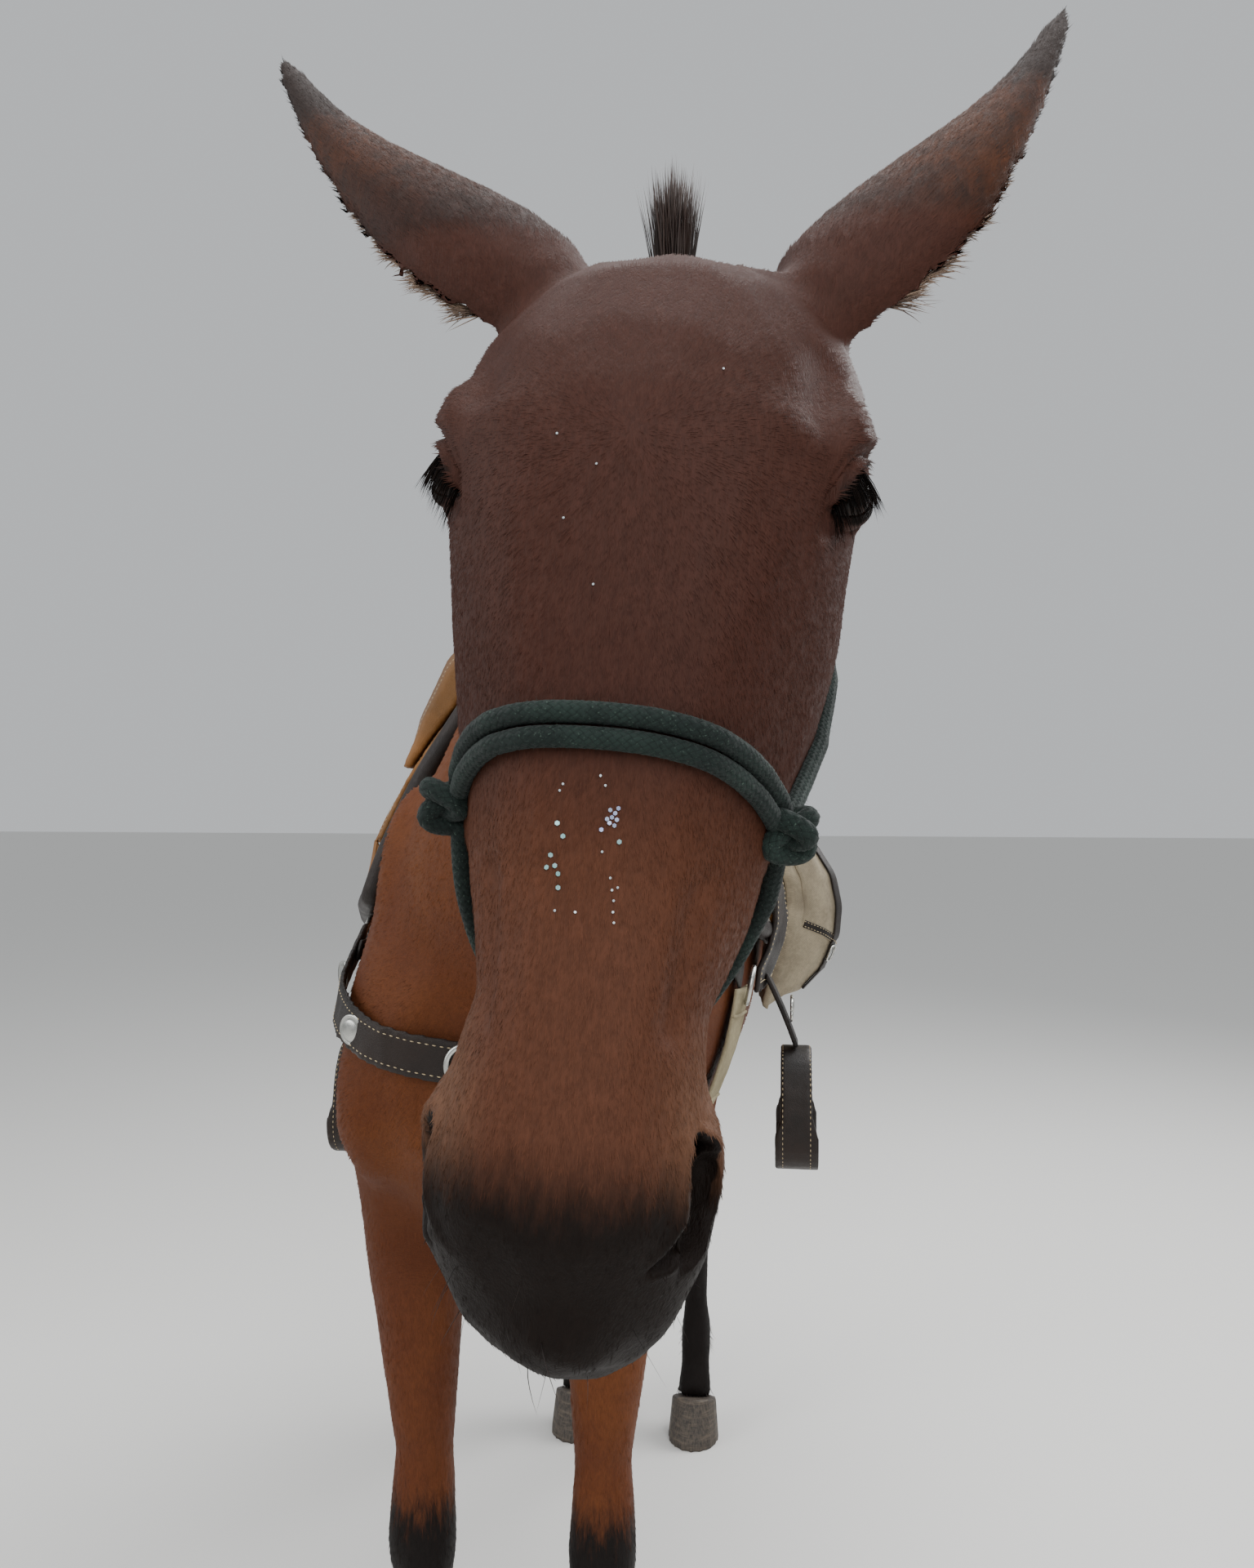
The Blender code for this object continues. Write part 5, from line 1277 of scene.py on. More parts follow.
def makeDockHair():  # short hair that runs from the croup down over the dock
    rng = np.random.default_rng(31)
    tree = nodeTree("tail", "torso")
    line = np.array(curveThrough(np.array(((0.0, 1.15, 1.385),) + tail["dock"]), 0.004))
    along = normalise(np.gradient(line, axis=0))
    paths, radii, sides = [], [], []
    for _ in range(1500):
        start = rng.uniform(0.0, 0.84)
        angle = rng.uniform(-1, 1) * (0.25 + 2.2 * start if start < 0.2 else 2.7)
        reach = start + np.linspace(0, 1, 5) * rng.uniform(0.11, 0.2)
        path = []
        for step, lift in zip((np.minimum(reach, 1.0) * (len(line) - 1)).astype(int),
                              (-0.006, 0.001, 0.0035, 0.004, 0.001)):
            outer = Vector((0.0, -along[step][2], along[step][1]))
            away = outer * math.cos(angle) + Vector((math.sin(angle), 0.0, 0.0))
            middle = Vector(line[step]) + shift
            hit = tree.ray_cast(middle + away * 0.09, -away, 0.12)[0]
            if hit is not None and (hit - middle).length < (0.056 if reach[0] < 0.3 else 0.048):
                path.append(hit + away * (lift + rng.uniform(-0.001, 0.002)))
        if len(path) == 5:
            paths.append([tuple(p) for p in path])
            radii.append(rng.uniform(0.0013, 0.0021) * np.array((1.0, 1.0, 0.8, 0.5, 0.08)))
            sides.append((math.cos(angle), 0.0, 0.001))
    ride(strands("dockHair", np.array(paths), np.array(radii), normalise(np.array(sides)), longHair))


ears = {
    "length": 0.31,
    "base": (0.076, -0.008, -0.125),
    "spread": (28.2, 46.1),
    "sweep": (15.7, 12.4),
    "turn": 28.0,
    "bow": 0.0205,
    "drop": 0.005,
    "keys": (-0.12, 0.0, 0.1, 0.25, 0.4, 0.55, 0.7, 0.85, 0.95, 1.0),
    "halfWidths": (0.028, 0.04, 0.047, 0.0455, 0.0355, 0.025, 0.0168, 0.011, 0.0074, 0.0035),
    "depths": (0.026, 0.034, 0.036, 0.034, 0.029, 0.022, 0.0155, 0.01, 0.006, 0.003),
}


def earLines(side, places):  # middle, axis, width direction, opening direction and half width
    which = 0 if side > 0 else 1
    up, out, back = [np.array(headDirection(*v)) for v in ((0, -1, 0), (side, 0, 0), (0, 0, -1))]
    spread, sweep = math.radians(ears["spread"][which]), math.radians(ears["sweep"][which])
    axis = normalise((up * math.cos(spread) + out * math.sin(spread)) * math.cos(sweep)
                     + back * math.sin(sweep))
    turn = math.radians(ears["turn"])
    under = normalise(out * math.cos(spread) - up * math.sin(spread))
    opening = back * math.cos(turn) + under * math.sin(turn)
    opening = normalise(opening - axis * (opening @ axis))
    wide = normalise(np.cross(axis, opening))
    if wide @ under < 0:
        wide = -wide
    base = np.array(headPoint(side * ears["base"][0], *ears["base"][1:]))
    bow = ears["bow"] * np.sin(math.pi * np.maximum(places, 0)**1.15) + ears["drop"] * (1 - places)
    middle = base + axis * (places * ears["length"])[:, None] + wide * bow[:, None]
    width = np.interp(places, ears["keys"], ears["halfWidths"])
    depth = np.interp(places, ears["keys"], ears["depths"])
    return middle, axis, wide, opening, width, depth


def makeEarHair():  # long soft hair along both edges of each ear and inside its cup
    rng = np.random.default_rng(9)
    for side, word in bothSides:
        groups = []
        for edge, count, long in ((1, 560, 0.016), (-1, 130, 0.006)):
            places = 0.02 + (0.5 * rng.random(count)**1.3 if edge > 0 else 0.8 * rng.random(count))
            middle, axis, wide, opening, width, _ = earLines(side, places)
            roots = middle + wide * ((width - 0.006) * edge)[:, None] - opening * 0.0025
            fan = axis * 0.75 + wide * edge * 0.55 + opening * 0.35
            directions = normalise(fan + rng.normal(0, 0.16, roots.shape))
            ragged = 0.15 + (1 - places)**3 * (0.95 + 0.4 * np.sin(places * 55))
            groups.append((roots, directions, long * ragged * rng.uniform(0.6, 1.3, count)))
        places = rng.uniform(0.05, 0.72, 420)
        middle, axis, wide, opening, width, depth = earLines(side, places)
        angle = rng.uniform(-0.45, 0.45, 420) * math.pi
        roots = middle + wide * ((width - 0.005) * np.sin(angle))[:, None] \
            - opening * ((depth - 0.006) * 0.8 * np.cos(angle))[:, None]
        directions = normalise(axis * 0.8 + opening * 0.5 - wide * (0.4 * np.sin(angle))[:, None]
                               + rng.normal(0, 0.18, roots.shape))
        groups.append((roots, directions, rng.uniform(0.01, 0.022, 420) * (1.1 - places * 0.7)))
        growLoose(rng, "earHair_" + word, groups, 0.00042, 0.1, earHairMaterial)


def paleHairMaterial():
    # Fine translucent-looking hair of the ear's edge, grey brown and lighter than the coat
    made, add, shader = newMaterial("fineEarHair", 0.55, ior=1.55)
    lie = add("Attribute", (), "Vector", attribute_name="lie")
    tone = add("TexNoise", {"Vector": lie, "Scale": 1 / 0.003, "Detail": 2.0, "Roughness": 0.55})
    amount = add("MapRange", (tone, 0.35, 0.7), **eased)
    feed(shader, {"Base Color": layColours(add, "#5a463a", ((amount, "#a38871"),))})
    return made


earHairMaterial = paleHairMaterial()


def makeLashes():  # upper lashes that hang out over the eye
    rng = np.random.default_rng(21)
    groups = []
    for side in (-1, 1):
        longWay, shortWay, outward = [np.array(headDirection(side * v.x, v.y, v.z)) for v in eyeAxes()]
        upSign = 1.0 if shortWay @ np.array(headDirection(0, -1, 0.3)) > 0 else -1.0
        centre = np.array(headPoint(side * eye["centre"][0], *eye["centre"][1:]))
        angle = rng.uniform(0.06, 0.94, 230) * math.pi
        x = np.cos(angle) * eye["halfLong"]
        y = np.sin(angle) * eye["halfShort"] * upSign
        depth = np.sqrt((eye["radius"] + 0.0012)**2 - x**2 - y**2)
        roots = centre + longWay * x[:, None] + shortWay * y[:, None] + outward * depth[:, None]
        directions = normalise(outward * 0.62 + longWay * (x / eye["halfLong"] * 0.3)[:, None]
                               + np.array(headDirection(0, 0.9, -0.1)) + rng.normal(0, 0.06, roots.shape))
        groups.append((roots, directions, rng.uniform(0.012, 0.019, 230)))
    growLoose(rng, "eyelashes", groups, 0.00026, 0.07, deepHair, droop=0.45)


def makeRopeFuzz():  # worn fibre ends that stand off the braid
    rng = np.random.default_rng(27)
    material, _, shader = newMaterial("polyesterFuzz", 0.9)
    feed(shader, {"Base Color": linear("#35443c")})
    for name, count in (("halterRopes", 5200), ("halterKnots", 1600)):
        spots, facing = scatter(rng, bpy.data.objects[name].data, lambda points: np.ones(len(points)), count)
        directions = normalise(facing + rng.normal(0, 0.7, spots.shape))
        tips = spots + directions * rng.uniform(0.0009, 0.0024, (count, 1))
        paths = np.stack((spots - facing * 0.0002, tips), axis=1)
        across = normalise(rng.normal(0, 1, spots.shape))
        ride(strands("fuzz_" + name, paths, np.full((count, 2), 0.00009), across, material, thin=1.0),
             slot="rope")


def makeWhiskers():  # feelers on the lips and chin
    rng = np.random.default_rng(23)

    def onMuzzle(points):
        local = toHead(points)
        chin = smoothStep(0.4, 0.44, local[:, 1]) * smoothStep(-0.085, -0.115, local[:, 2])
        lip = smoothStep(0.485, 0.5, local[:, 1])
        return 1300 * np.maximum(chin * 1.6, lip) * (local[:, 2] > -0.3) * (local[:, 1] < 0.62)

    spots, facing = scatter(rng, muleSkin.data, onMuzzle)
    flow = hairFlow(spots, facing)
    directions = normalise(facing + flow * 0.5 + rng.normal(0, 0.2, spots.shape))
    lengths = rng.uniform(0.008, 0.022, len(spots)) * (1 + (rng.random(len(spots)) > 0.93))
    growLoose(rng, "muzzleWhiskers", [(spots, directions, lengths)], 0.00022, 0.18, longHair, droop=0.3)


def makeFetlocks():  # short feather behind the fetlocks and over the coronets
    rng = np.random.default_rng(25)

    def where(points):
        world = inStance(points)
        back = np.where(world[:, 1] > 0.6, world[:, 1] - 1.17, world[:, 1])
        low = (world[:, 2] > 0.06) & (world[:, 2] < 0.2)
        coronet = (world[:, 2] > 0.055) & (world[:, 2] < 0.085)
        return 16000.0 * (low & (back > 0.008)) + 24000.0 * coronet

    spots, facing = scatter(rng, muleSkin.data, where)
    directions = normalise(np.array((0, 0.25, -1.0)) + facing * 0.45 + rng.normal(0, 0.12, spots.shape))
    paths, radii = spring(rng, spots, directions, rng.uniform(0.012, 0.026, len(spots)), 0.0007, 0.1)
    ride(strands("fetlockHair", paths, radii, normalise(np.cross(facing, (0, 0, 1.0))), longHair))


makeTuft()
makeMane()
makeTail()
makeDockHair()
makeEarHair()
makeLashes()
makeRopeFuzz()
makeWhiskers()
makeFetlocks()
print("long hair grown")


# Tack

barrel = {"centre": 1.16, "front": 0.095, "rear": 0.86}  # height of its middle, and the ends of the pad


def onBarrel(tree, y, angle, lift=0.0):
    # The place and outward direction of the tack at y and angle: 0 is up and 90 the left side
    turn = math.radians(angle)
    aim = Vector((0.0, y, barrel["centre"])) + shift
    origin = aim + Vector((math.sin(turn), 0.0, math.cos(turn)))
    hit, out, _, _ = tree.ray_cast(origin, (aim - origin).normalized())
    if hit is None:
        hit, out, _, _ = tree.find_nearest(origin.lerp(aim, 0.7))
    if out.dot(origin - aim) < 0:
        out = -out
    return hit + out * lift, out


def padSpan(y):
    return np.interp(y, (0.095, 0.25, 0.45, 0.86), (86.0, 96.0, 104.0, 104.0))


def smoothCopy(name, node, voxel, rounds, material, slot, inset=0.0):
    # A rounded, even skin over a CAD solid, for leather, cloth and horn
    made = voxelSkin(gather(name, [nodeCopy(node)], material), voxel)
    relax(made.data, rounds)
    points, out = positions(made.data), normals(made.data)
    moveTo(made.data, points - out * inset)
    made.data.materials.clear()
    made.data.materials.append(material)
    made.data.shade_smooth()
    ride(made, node, slot=slot)
    return made


def pieceTree(made):
    bm = bmesh.new()
    bm.from_mesh(made.data)
    tree = BVHTree.FromBMesh(bm)
    bm.free()
    return tree


def layCloth(made):  # metres round the barrel and along it, for weave, grain and quilting
    points = inStance(positions(made.data))
    around = np.arctan2(points[:, 0], points[:, 2] - barrel["centre"])
    points[:, 0] = around * 0.3
    setAttribute(made.data, "wrap", "FLOAT_VECTOR", points)


def parted(run):  # the places and the outward directions of (place, out) pairs
    return [np.array([tuple(part) for part in parts]) for parts in zip(*run)]


def relaxPath(points, rounds):
    points = np.array([tuple(point) for point in points])
    for _ in range(rounds):
        points[1:-1] = (points[:-2] + 2 * points[1:-1] + points[2:]) / 4
    return points


def strap(run, rounds, width, thickness, sides, lift=0.0):
    # A strap with rounded edges laid along (place, out) pairs, its flat side against the surface below
    points, outs = parted(run)
    points = relaxPath(points, rounds)
    tangents = normalise(np.gradient(points, axis=0))
    across = normalise(np.cross(tangents, normalise(outs)))
    rise = np.cross(across, tangents)
    bm, spots = gridShape(sides, len(points) - 1)
    row = np.rint(spots[:, 1] * (len(points) - 1)).astype(int)
    angle = spots[:, 0] * 2 * math.pi
    x = np.sign(np.cos(angle)) * np.abs(np.cos(angle))**0.35 * width / 2
    z = np.sign(np.sin(angle)) * np.abs(np.sin(angle))**0.6 * thickness / 2
    places = points[row] + across[row] * x[:, None] + rise[row] * (z + thickness / 2 + lift)[:, None]
    setPlaces(bm, places, np.column_stack((x, runsAlong(points)[row], z)))
    return closeShape(bm)


def sew(name, lines, slot, length=0.0042, gap=0.0022, radius=0.00065):
    # Rows of thread laid along lines of (place, out) pairs
    paths, sides = [], []
    for line in lines:
        points, outs = parted(line)
        outs = normalise(outs)
        runs = runsAlong(points)
        starts = np.arange(0.0, runs[-1] - length, length + gap)
        first, middle, last = [placeAlong(starts + part, runs, points) for part in (0.0, length / 2, length)]
        out = placeAlong(starts + length / 2, runs, outs)
        dip = radius * 0.5
        paths.append(np.stack((first - out * dip, middle + out * radius * 0.55, last - out * dip), axis=1))
        sides.append(np.cross(normalise(last - first), out))
    paths, sides = np.concatenate(paths), np.concatenate(sides)
    radii = np.tile((0.55, 1.0, 0.55), (len(paths), 1)) * radius
    ride(strands(name, paths, radii, normalise(sides), waxedThread, sides=5, thin=0.8), slot=slot)


def leatherMaterial(name, dark, light, roughness, worn, grain=0.0022):
    # Vegetable-tanned leather: pebbled grain, with painted shade in the folds, rubbed pale and shinier with
    # use
    made, add, shader = newMaterial(name, roughness, gloss=0.32)
    place = add("TexCoord", (), "Object")
    cells = add("TexVoronoi", {"Vector": place, "Scale": 1 / grain}, feature="DISTANCE_TO_EDGE")
    creases, tone, rub = [
        add("TexNoise", {"Vector": place, "Scale": 1 / size, "Detail": detail,
                         "Roughness": rough, "Distortion": bend})
        for size, detail, rough, bend in ((0.012, 5.0, 0.65, 0.8), (0.09, 4.0, 0.6, 0.0),
                                          (0.035, 5.0, 0.7, 0.0))]
    # the creases layer is painted shade: darker in the low places of the fold bump
    layers = ((tone, 0.3, 0.72, 1.0, light), (rub, 0.55, 0.78, 0.25, worn), (creases, 0.42, 0.3, 0.3, dark))
    colour = layColours(add, dark, [(add("MapRange", (value, low, high, 0.0, most), **eased), code)
                                    for value, low, high, most, code in layers])
    dull = add("MapRange", (rub, 0.3, 0.75, roughness + 0.1, roughness - 0.12))
    pebble = add("MapRange", (cells, 0.0, 0.25), **eased)
    folds = add("Bump", {"Height": creases, "Distance": 0.001, "Strength": 0.5})
    feed(shader, {"Base Color": colour, "Roughness": dull, "Normal": add("Bump", {
        "Height": pebble, "Distance": 0.00025, "Strength": 0.6, "Normal": folds})})
    return made


def feltMaterial():
    # Wool felt saddle pad: matted pale grey fibres with darker specks and broad, dusty sweat stains
    made, add, shader = newMaterial("woolFelt", 0.95)
    feed(shader, {"Sheen Weight": 0.35, "Sheen Roughness": 0.7})
    place = add("TexCoord", (), "Object")
    fibres, matted, stain, specks = [
        add("TexNoise", {"Vector": place, "Scale": 1 / size, "Detail": detail,
                         "Roughness": rough, "Distortion": bend})
        for size, detail, rough, bend in ((0.0016, 4.0, 0.75, 1.2), (0.011, 4.0, 0.65, 0.6),
                                          (0.1, 3.0, 0.55, 0.0), (0.0024, 1.0, 0.55, 0.0))]
    layers = ((matted, 0.3, 0.7, 1.0, "#aca08d"), (stain, 0.48, 0.7, 0.55, "#6f6150"),
              (specks, 0.68, 0.76, 0.6, "#5d5850"))
    colour = layColours(add, "#8b8172", [
        (add("MapRange", (value, low, high, 0.0, most), **eased), code)
        for value, low, high, most, code in layers])
    lumps = add("Math", (matted, 0.8), operation="MULTIPLY")
    height = add("Math", (fibres, 0.6, lumps), operation="MULTIPLY_ADD")
    feed(shader, {"Base Color": colour, "Normal": add("Bump", {"Height": height, "Distance": 0.0016,
                                                               "Strength": 0.7})})
    return made


def canvasMaterial(name, dark, light, thread=0.0013):
    # Cotton duck: plain weave of thick threads, drawn at 1.3 mm so that it shows, faded in broad patches
    made, add, shader = newMaterial(name, 0.9)
    place = add("TexCoord", (), "Object")
    wrap = add("Attribute", (), "Vector", attribute_name="wrap")
    threads = []
    for part in add("SeparateXYZ", (wrap,), None)[:2]:
        phase = add("Math", (part, math.pi / thread), operation="MULTIPLY")
        threads.append(add("Math", (phase,), operation="SINE"))
    weave = add("Math", threads, operation="MULTIPLY")
    slub, fade, crease = [
        add("TexNoise", {"Vector": place, "Scale": 1 / size, "Detail": detail,
                         "Roughness": rough, "Distortion": bend})
        for size, detail, rough, bend in ((0.005, 3.0, 0.6, 0.0), (0.07, 4.0, 0.6, 0.0),
                                          (0.02, 3.0, 0.5, 0.5))]
    colour = layColours(add, dark, ((add("MapRange", (fade, 0.32, 0.7), **eased), light),))
    uneven = add("Math", (weave, 0.22, slub), operation="MULTIPLY_ADD")
    tint = add("MapRange", (uneven, 0.2, 0.85, 0.78, 1.12))
    folds = add("Bump", {"Height": crease, "Distance": 0.002, "Strength": 0.4})
    ribs = add("Math", (weave,), operation="ABSOLUTE")
    colour = add("Mix", {0: 1.0, 6: colour, 7: tint}, 2, data_type="RGBA", blend_type="MULTIPLY")
    feed(shader, {"Base Color": colour, "Normal": add("Bump", {
        "Height": ribs, "Distance": 0.0004, "Strength": 0.5, "Normal": folds})})
    return made


def steelMaterial():
    # Stainless saddle hardware: bright, with fine scratches and a little dullness from handling
    made, add, shader = newMaterial("stainlessSteel", 0.25, metallic=1.0)
    place = add("TexCoord", (), "Object")
    drawn = add("VectorMath", (place, (1.0, 0.2, 1.0)), operation="MULTIPLY")
    scratches, dull = [add("TexNoise", {"Vector": where, "Scale": 1 / size, "Detail": 3.0, "Roughness": 0.55})
                       for where, size in ((drawn, 0.0012), (place, 0.01))]
    feed(shader, {"Base Color": linear("#bdbdb8"),
                  "Roughness": add("MapRange", (dull, 0.3, 0.7, 0.18, 0.42)),
                  "Normal": add("Bump", {"Height": scratches, "Distance": 0.00008, "Strength": 0.4})})
    return made


def threadMaterial():
    # Waxed harness thread, cream and a little shiny on the twist
    made, add, shader = newMaterial("waxedThread", 0.6)
    place = add("TexCoord", (), "Object")
    tone = add("TexNoise", {"Vector": place, "Scale": 1 / 0.01, "Detail": 2.0, "Roughness": 0.55})
    feed(shader, {"Base Color": layColours(add, "#a08d6c", ((tone, "#cdbb96"),))})
    return made


tanLeather = leatherMaterial("tanSkirtingLeather", "#63431f", "#83592f", 0.5, "#a98353")
darkLeather = leatherMaterial("oiledBridleLeather", "#120d0a", "#241913", 0.48, "#3d2c20")
woolFelt = feltMaterial()
cottonCanvas = canvasMaterial("cottonDuck", "#776c59", "#9a8e77")
cordCotton = canvasMaterial("mohairCinchCord", "#8f8468", "#b3a788")
steel = steelMaterial()
waxedThread = threadMaterial()


def lathe(profile, steps=36):  # turns a profile of (radius, height) pairs about the vertical
    bm = bmesh.new()
    line = [bm.verts.new((r, 0.0, z)) for r, z in profile]
    edges = [bm.edges.new(pair) for pair in zip(line, line[1:])]
    bmesh.ops.spin(bm, geom=line + edges, cent=(0, 0, 0), axis=(0, 0, 1), angle=2 * math.pi, steps=steps,
                   use_merge=True)
    bmesh.ops.remove_doubles(bm, verts=bm.verts, dist=0.00005)
    bmesh.ops.recalc_face_normals(bm, faces=bm.faces)
    return bm


def concho(place, out, radius):  # a shallow domed disc with a raised edge
    bm = lathe([(radius * r, h) for r, h in ((0.0, -0.001), (0.97, -0.001), (1.0, 0.0), (0.97, 0.0012),
                                             (0.9, 0.0016), (0.84, 0.0008), (0.6, 0.0022), (0.3, 0.003),
                                             (0.0, 0.0033))])
    turn = out.to_track_quat("Z", "Y").to_matrix().to_4x4()
    turn.translation = place
    bm.transform(turn)
    return bm


def ringShape(place, out, along, radius, wire, sides=12, around=48):  # a round metal ring
    side = out.cross(along).normalized()
    points = [place + (along * math.cos(2 * math.pi * k / around) + side * math.sin(2 * math.pi * k / around))
              * radius for k in range(around + 1)]
    return tube(points, wire, sides)


def buckle(place, out, along, width, length, wire=0.0017):  # a rounded frame with a tongue
    side = out.cross(along).normalized()
    hoop = []
    for turn in np.linspace(0, 2 * math.pi, 41):
        x = math.copysign(abs(math.cos(turn))**0.45, math.cos(turn)) * width / 2
        y = math.copysign(abs(math.sin(turn))**0.45, math.sin(turn)) * length / 2
        hoop.append(place + side * x + along * y + out * 0.002)
    tongue = [place - along * (length * 0.5) + out * 0.0015, place + out * 0.004,
              place + along * (length * 0.52) + out * 0.0035]
    return [tube(hoop, wire, 8), tube(curveThrough(tongue, 0.002), wire * 0.75, 8)]


hardware = []


def makePad():
    made = smoothCopy("saddlePadFelt", "saddle_pad", 0.008, 10, woolFelt, "felt")
    mesh = made.data
    points, out = positions(mesh), normals(mesh)
    world = inStance(points)
    turn = np.arctan2(world[:, 0], world[:, 2] - barrel["centre"])
    edge = np.minimum(np.minimum(world[:, 1] - barrel["front"], barrel["rear"] - world[:, 1]),
                      (padSpan(world[:, 1]) - np.abs(np.degrees(turn))) * 0.0055)
    seam = -0.003 * np.exp(-((edge - 0.03) / 0.004)**2)
    rows = -0.0016 * np.abs(np.cos(math.pi * world[:, 1] / 0.075))**24 * (edge > 0.034)
    lumps = 0.001 * np.sin(points[:, 1] * 37 + points[:, 2] * 23) \
        * np.sin(points[:, 1] * 19 - points[:, 2] * 31)
    up = np.abs(out[:, 0] * np.sin(turn) + out[:, 2] * np.cos(turn)) > 0.6
    moveTo(mesh, points + out * ((seam + rows + lumps) * up)[:, None])
    layCloth(made)
    tree = pieceTree(made)
    border = [onBarrel(tree, y, a, -0.01)[0] for y, a in outline(0.1, 0.855, 0.985, 210)]
    ride(gather("padBinding", [tube(relaxPath(border, 2), 0.0142, 16)], darkLeather), slot="dark_leather")
    return tree


def outline(first, last, share, count=240, inset=0.0):
    # (y, angle) round a layer on the back: up the left edge, across the back, and down the right
    front, rear = first + inset, last - inset

    def span(y):
        return padSpan(y) * share - inset * 170

    spots = [(y, span(y)) for y in np.linspace(front, rear, count // 3)]
    spots += [(rear, t * span(last)) for t in np.linspace(1, -1, count // 3)[1:]]
    spots += [(y, -span(y)) for y in np.linspace(rear, front, count // 3)[1:]]
    return spots + [(front, t * span(first)) for t in np.linspace(-1, 1, count // 3)[1:]]


def sewnEdge(tree, first, last, share, insets):
    return [[onBarrel(tree, y, a) for y, a in outline(first, last, share, inset=inset)] for inset in insets]


def makeSaddle():
    rows = np.linspace(barrel["front"], barrel["rear"], 8)
    skirts = smoothCopy("leatherSkirts", "saddle_skirts", 0.0064, 5, tanLeather, "tan_leather")
    seat = smoothCopy("leatherSeat", "saddle_seat", 0.0064, 10, tanLeather, "tan_leather")
    skirtTree, seatTree = pieceTree(skirts), pieceTree(seat)
    sew("skirtStitching", sewnEdge(skirtTree, rows[1], rows[6], 0.75, (0.01, 0.014))
        + sewnEdge(seatTree, rows[1] + 0.004, rows[5] - 0.004, 0.5, (0.01,)), "tan_leather")
    strings = []
    for side in (-1, 1):
        for y, share in ((rows[1] + 0.045, 0.62), (rows[1] + 0.13, 0.66), (rows[5] + 0.03, 0.56),
                         (rows[6] - 0.03, 0.6)):
            place, out = onBarrel(skirtTree, y, side * padSpan(y) * share)
            hardware.append(concho(place + out * 0.0008, out, 0.018))
            for lean, long in ((-0.006, 0.15), (0.007, 0.19)):
                fall = []
                for t in np.linspace(0, 1, 16):
                    spot = y + lean * (1 + 2 * t), side * (padSpan(y) * share + t * long * 165)
                    (high, away), (low, _) = onBarrel(skirtTree, *spot), onBarrel(padTree, *spot)
                    onSkirt = abs(high.x) > abs(low.x) and (high - low).length < 0.05
                    fall.append((high if onSkirt else low, away))
                strings.append(strap(fall, 3, 0.0075, 0.0026, 10, 0.001))
    ride(gather("saddleStrings", strings, tanLeather), slot="tan_leather")
    roll = [onBarrel(seatTree, rows[5] - 0.028, a, 0.001)[0] for a in np.linspace(-44, 44, 60)]
    ride(gather("cantleRoll", [tube(relaxPath(roll, 2), 0.0085, 14)], tanLeather), slot="tan_leather")
    top = seatTree.ray_cast(Vector((0, 0.238, 2.0)) + shift, Vector((0, 0, -1)))[0]
    profile = ((-0.012, 0.04), (0.006, 0.03), (0.03, 0.0215), (0.052, 0.0185), (0.063, 0.02),
               (0.068, 0.035), (0.073, 0.0385), (0.079, 0.037), (0.082, 0.03), (0.0835, 0.0))
    line = curveThrough([(r, 0.0, z) for z, r in profile], 0.0015)
    bm = lathe([(0.0, profile[0][0])] + [(r, z) for r, _, z in line], 40)
    for vert in bm.verts:
        z = vert.co.z
        vert.co += Vector((top.x, top.y - 0.012 - 0.2 * z, top.z))
    ride(newObject("wrappedHorn", bm, darkLeather), "saddle_horn", slot="dark_leather")
    turns = [top + Vector((0.0215 * math.cos(k * 0.5), -0.012 - 0.2 * z + 0.0215 * math.sin(k * 0.5), z))
             for k, z in enumerate(np.linspace(0.018, 0.06, 96))]
    ride(gather("hornWrap", [tube(turns, 0.0028, 8, squash=0.7)], darkLeather), slot="dark_leather")


def makeFenders():
    lines = []
    for side, word in bothSides:
        tree = pieceTree(smoothCopy("fenderLeather_" + word, "fender_" + word, 0.0042, 6, darkLeather,
                                    "dark_leather"))
        for inset in (0.01, 0.014):
            front, rear = 0.335 + inset, 0.485 - inset
            spots = [(front, a) for a in np.linspace(67, 113, 60)]
            spots += [(y, 113) for y in np.linspace(front, rear, 30)][1:]
            spots += [(rear, a) for a in np.linspace(113, 67, 60)][1:]
            lines.append([onBarrel(tree, y, side * a) for y, a in spots])
        smoothCopy("stirrupLeather_strap_" + word, "stirrup_leather_" + word, 0.0022, 6, darkLeather,
                   "dark_leather")
        low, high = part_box("stirrup_leather_" + word)
        middle = (low + high) / 2
        middle.x = high.x if side > 0 else low.x
        out = Vector((side, 0, 0.1)).normalized()
        hardware.extend(buckle(middle - out * 0.012, out, Vector((0, 0, 1)), 0.05, 0.03, 0.0022))
        tree = pieceTree(smoothCopy("stirrupFrame_" + word, "stirrup_" + word, 0.0036, 5, darkLeather,
                                    "dark_leather"))
        low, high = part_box("stirrup_" + word)
        for edge in (-0.019, 0.019):
            line = []
            for turn in np.radians(np.linspace(-55, 235, 90)):
                away = Vector((0, math.cos(turn), math.sin(turn)))
                hit = tree.ray_cast((low + high) / 2 + Vector((edge, 0, 0)) + away * 0.2, -away)[0]
                if hit is not None:
                    line.append((hit, away))
            lines.append(line)
    sew("fenderStitching", lines, "dark_leather", length=0.0048, gap=0.0026)


sagging = {
    "quality": 4,
    "use_pressure": True,
    "uniform_pressure_force": 4.0,
    "tension_stiffness": 25,
    "compression_stiffness": 15,
    "bending_stiffness": 1.5,
    "shrink_min": -0.04,
}


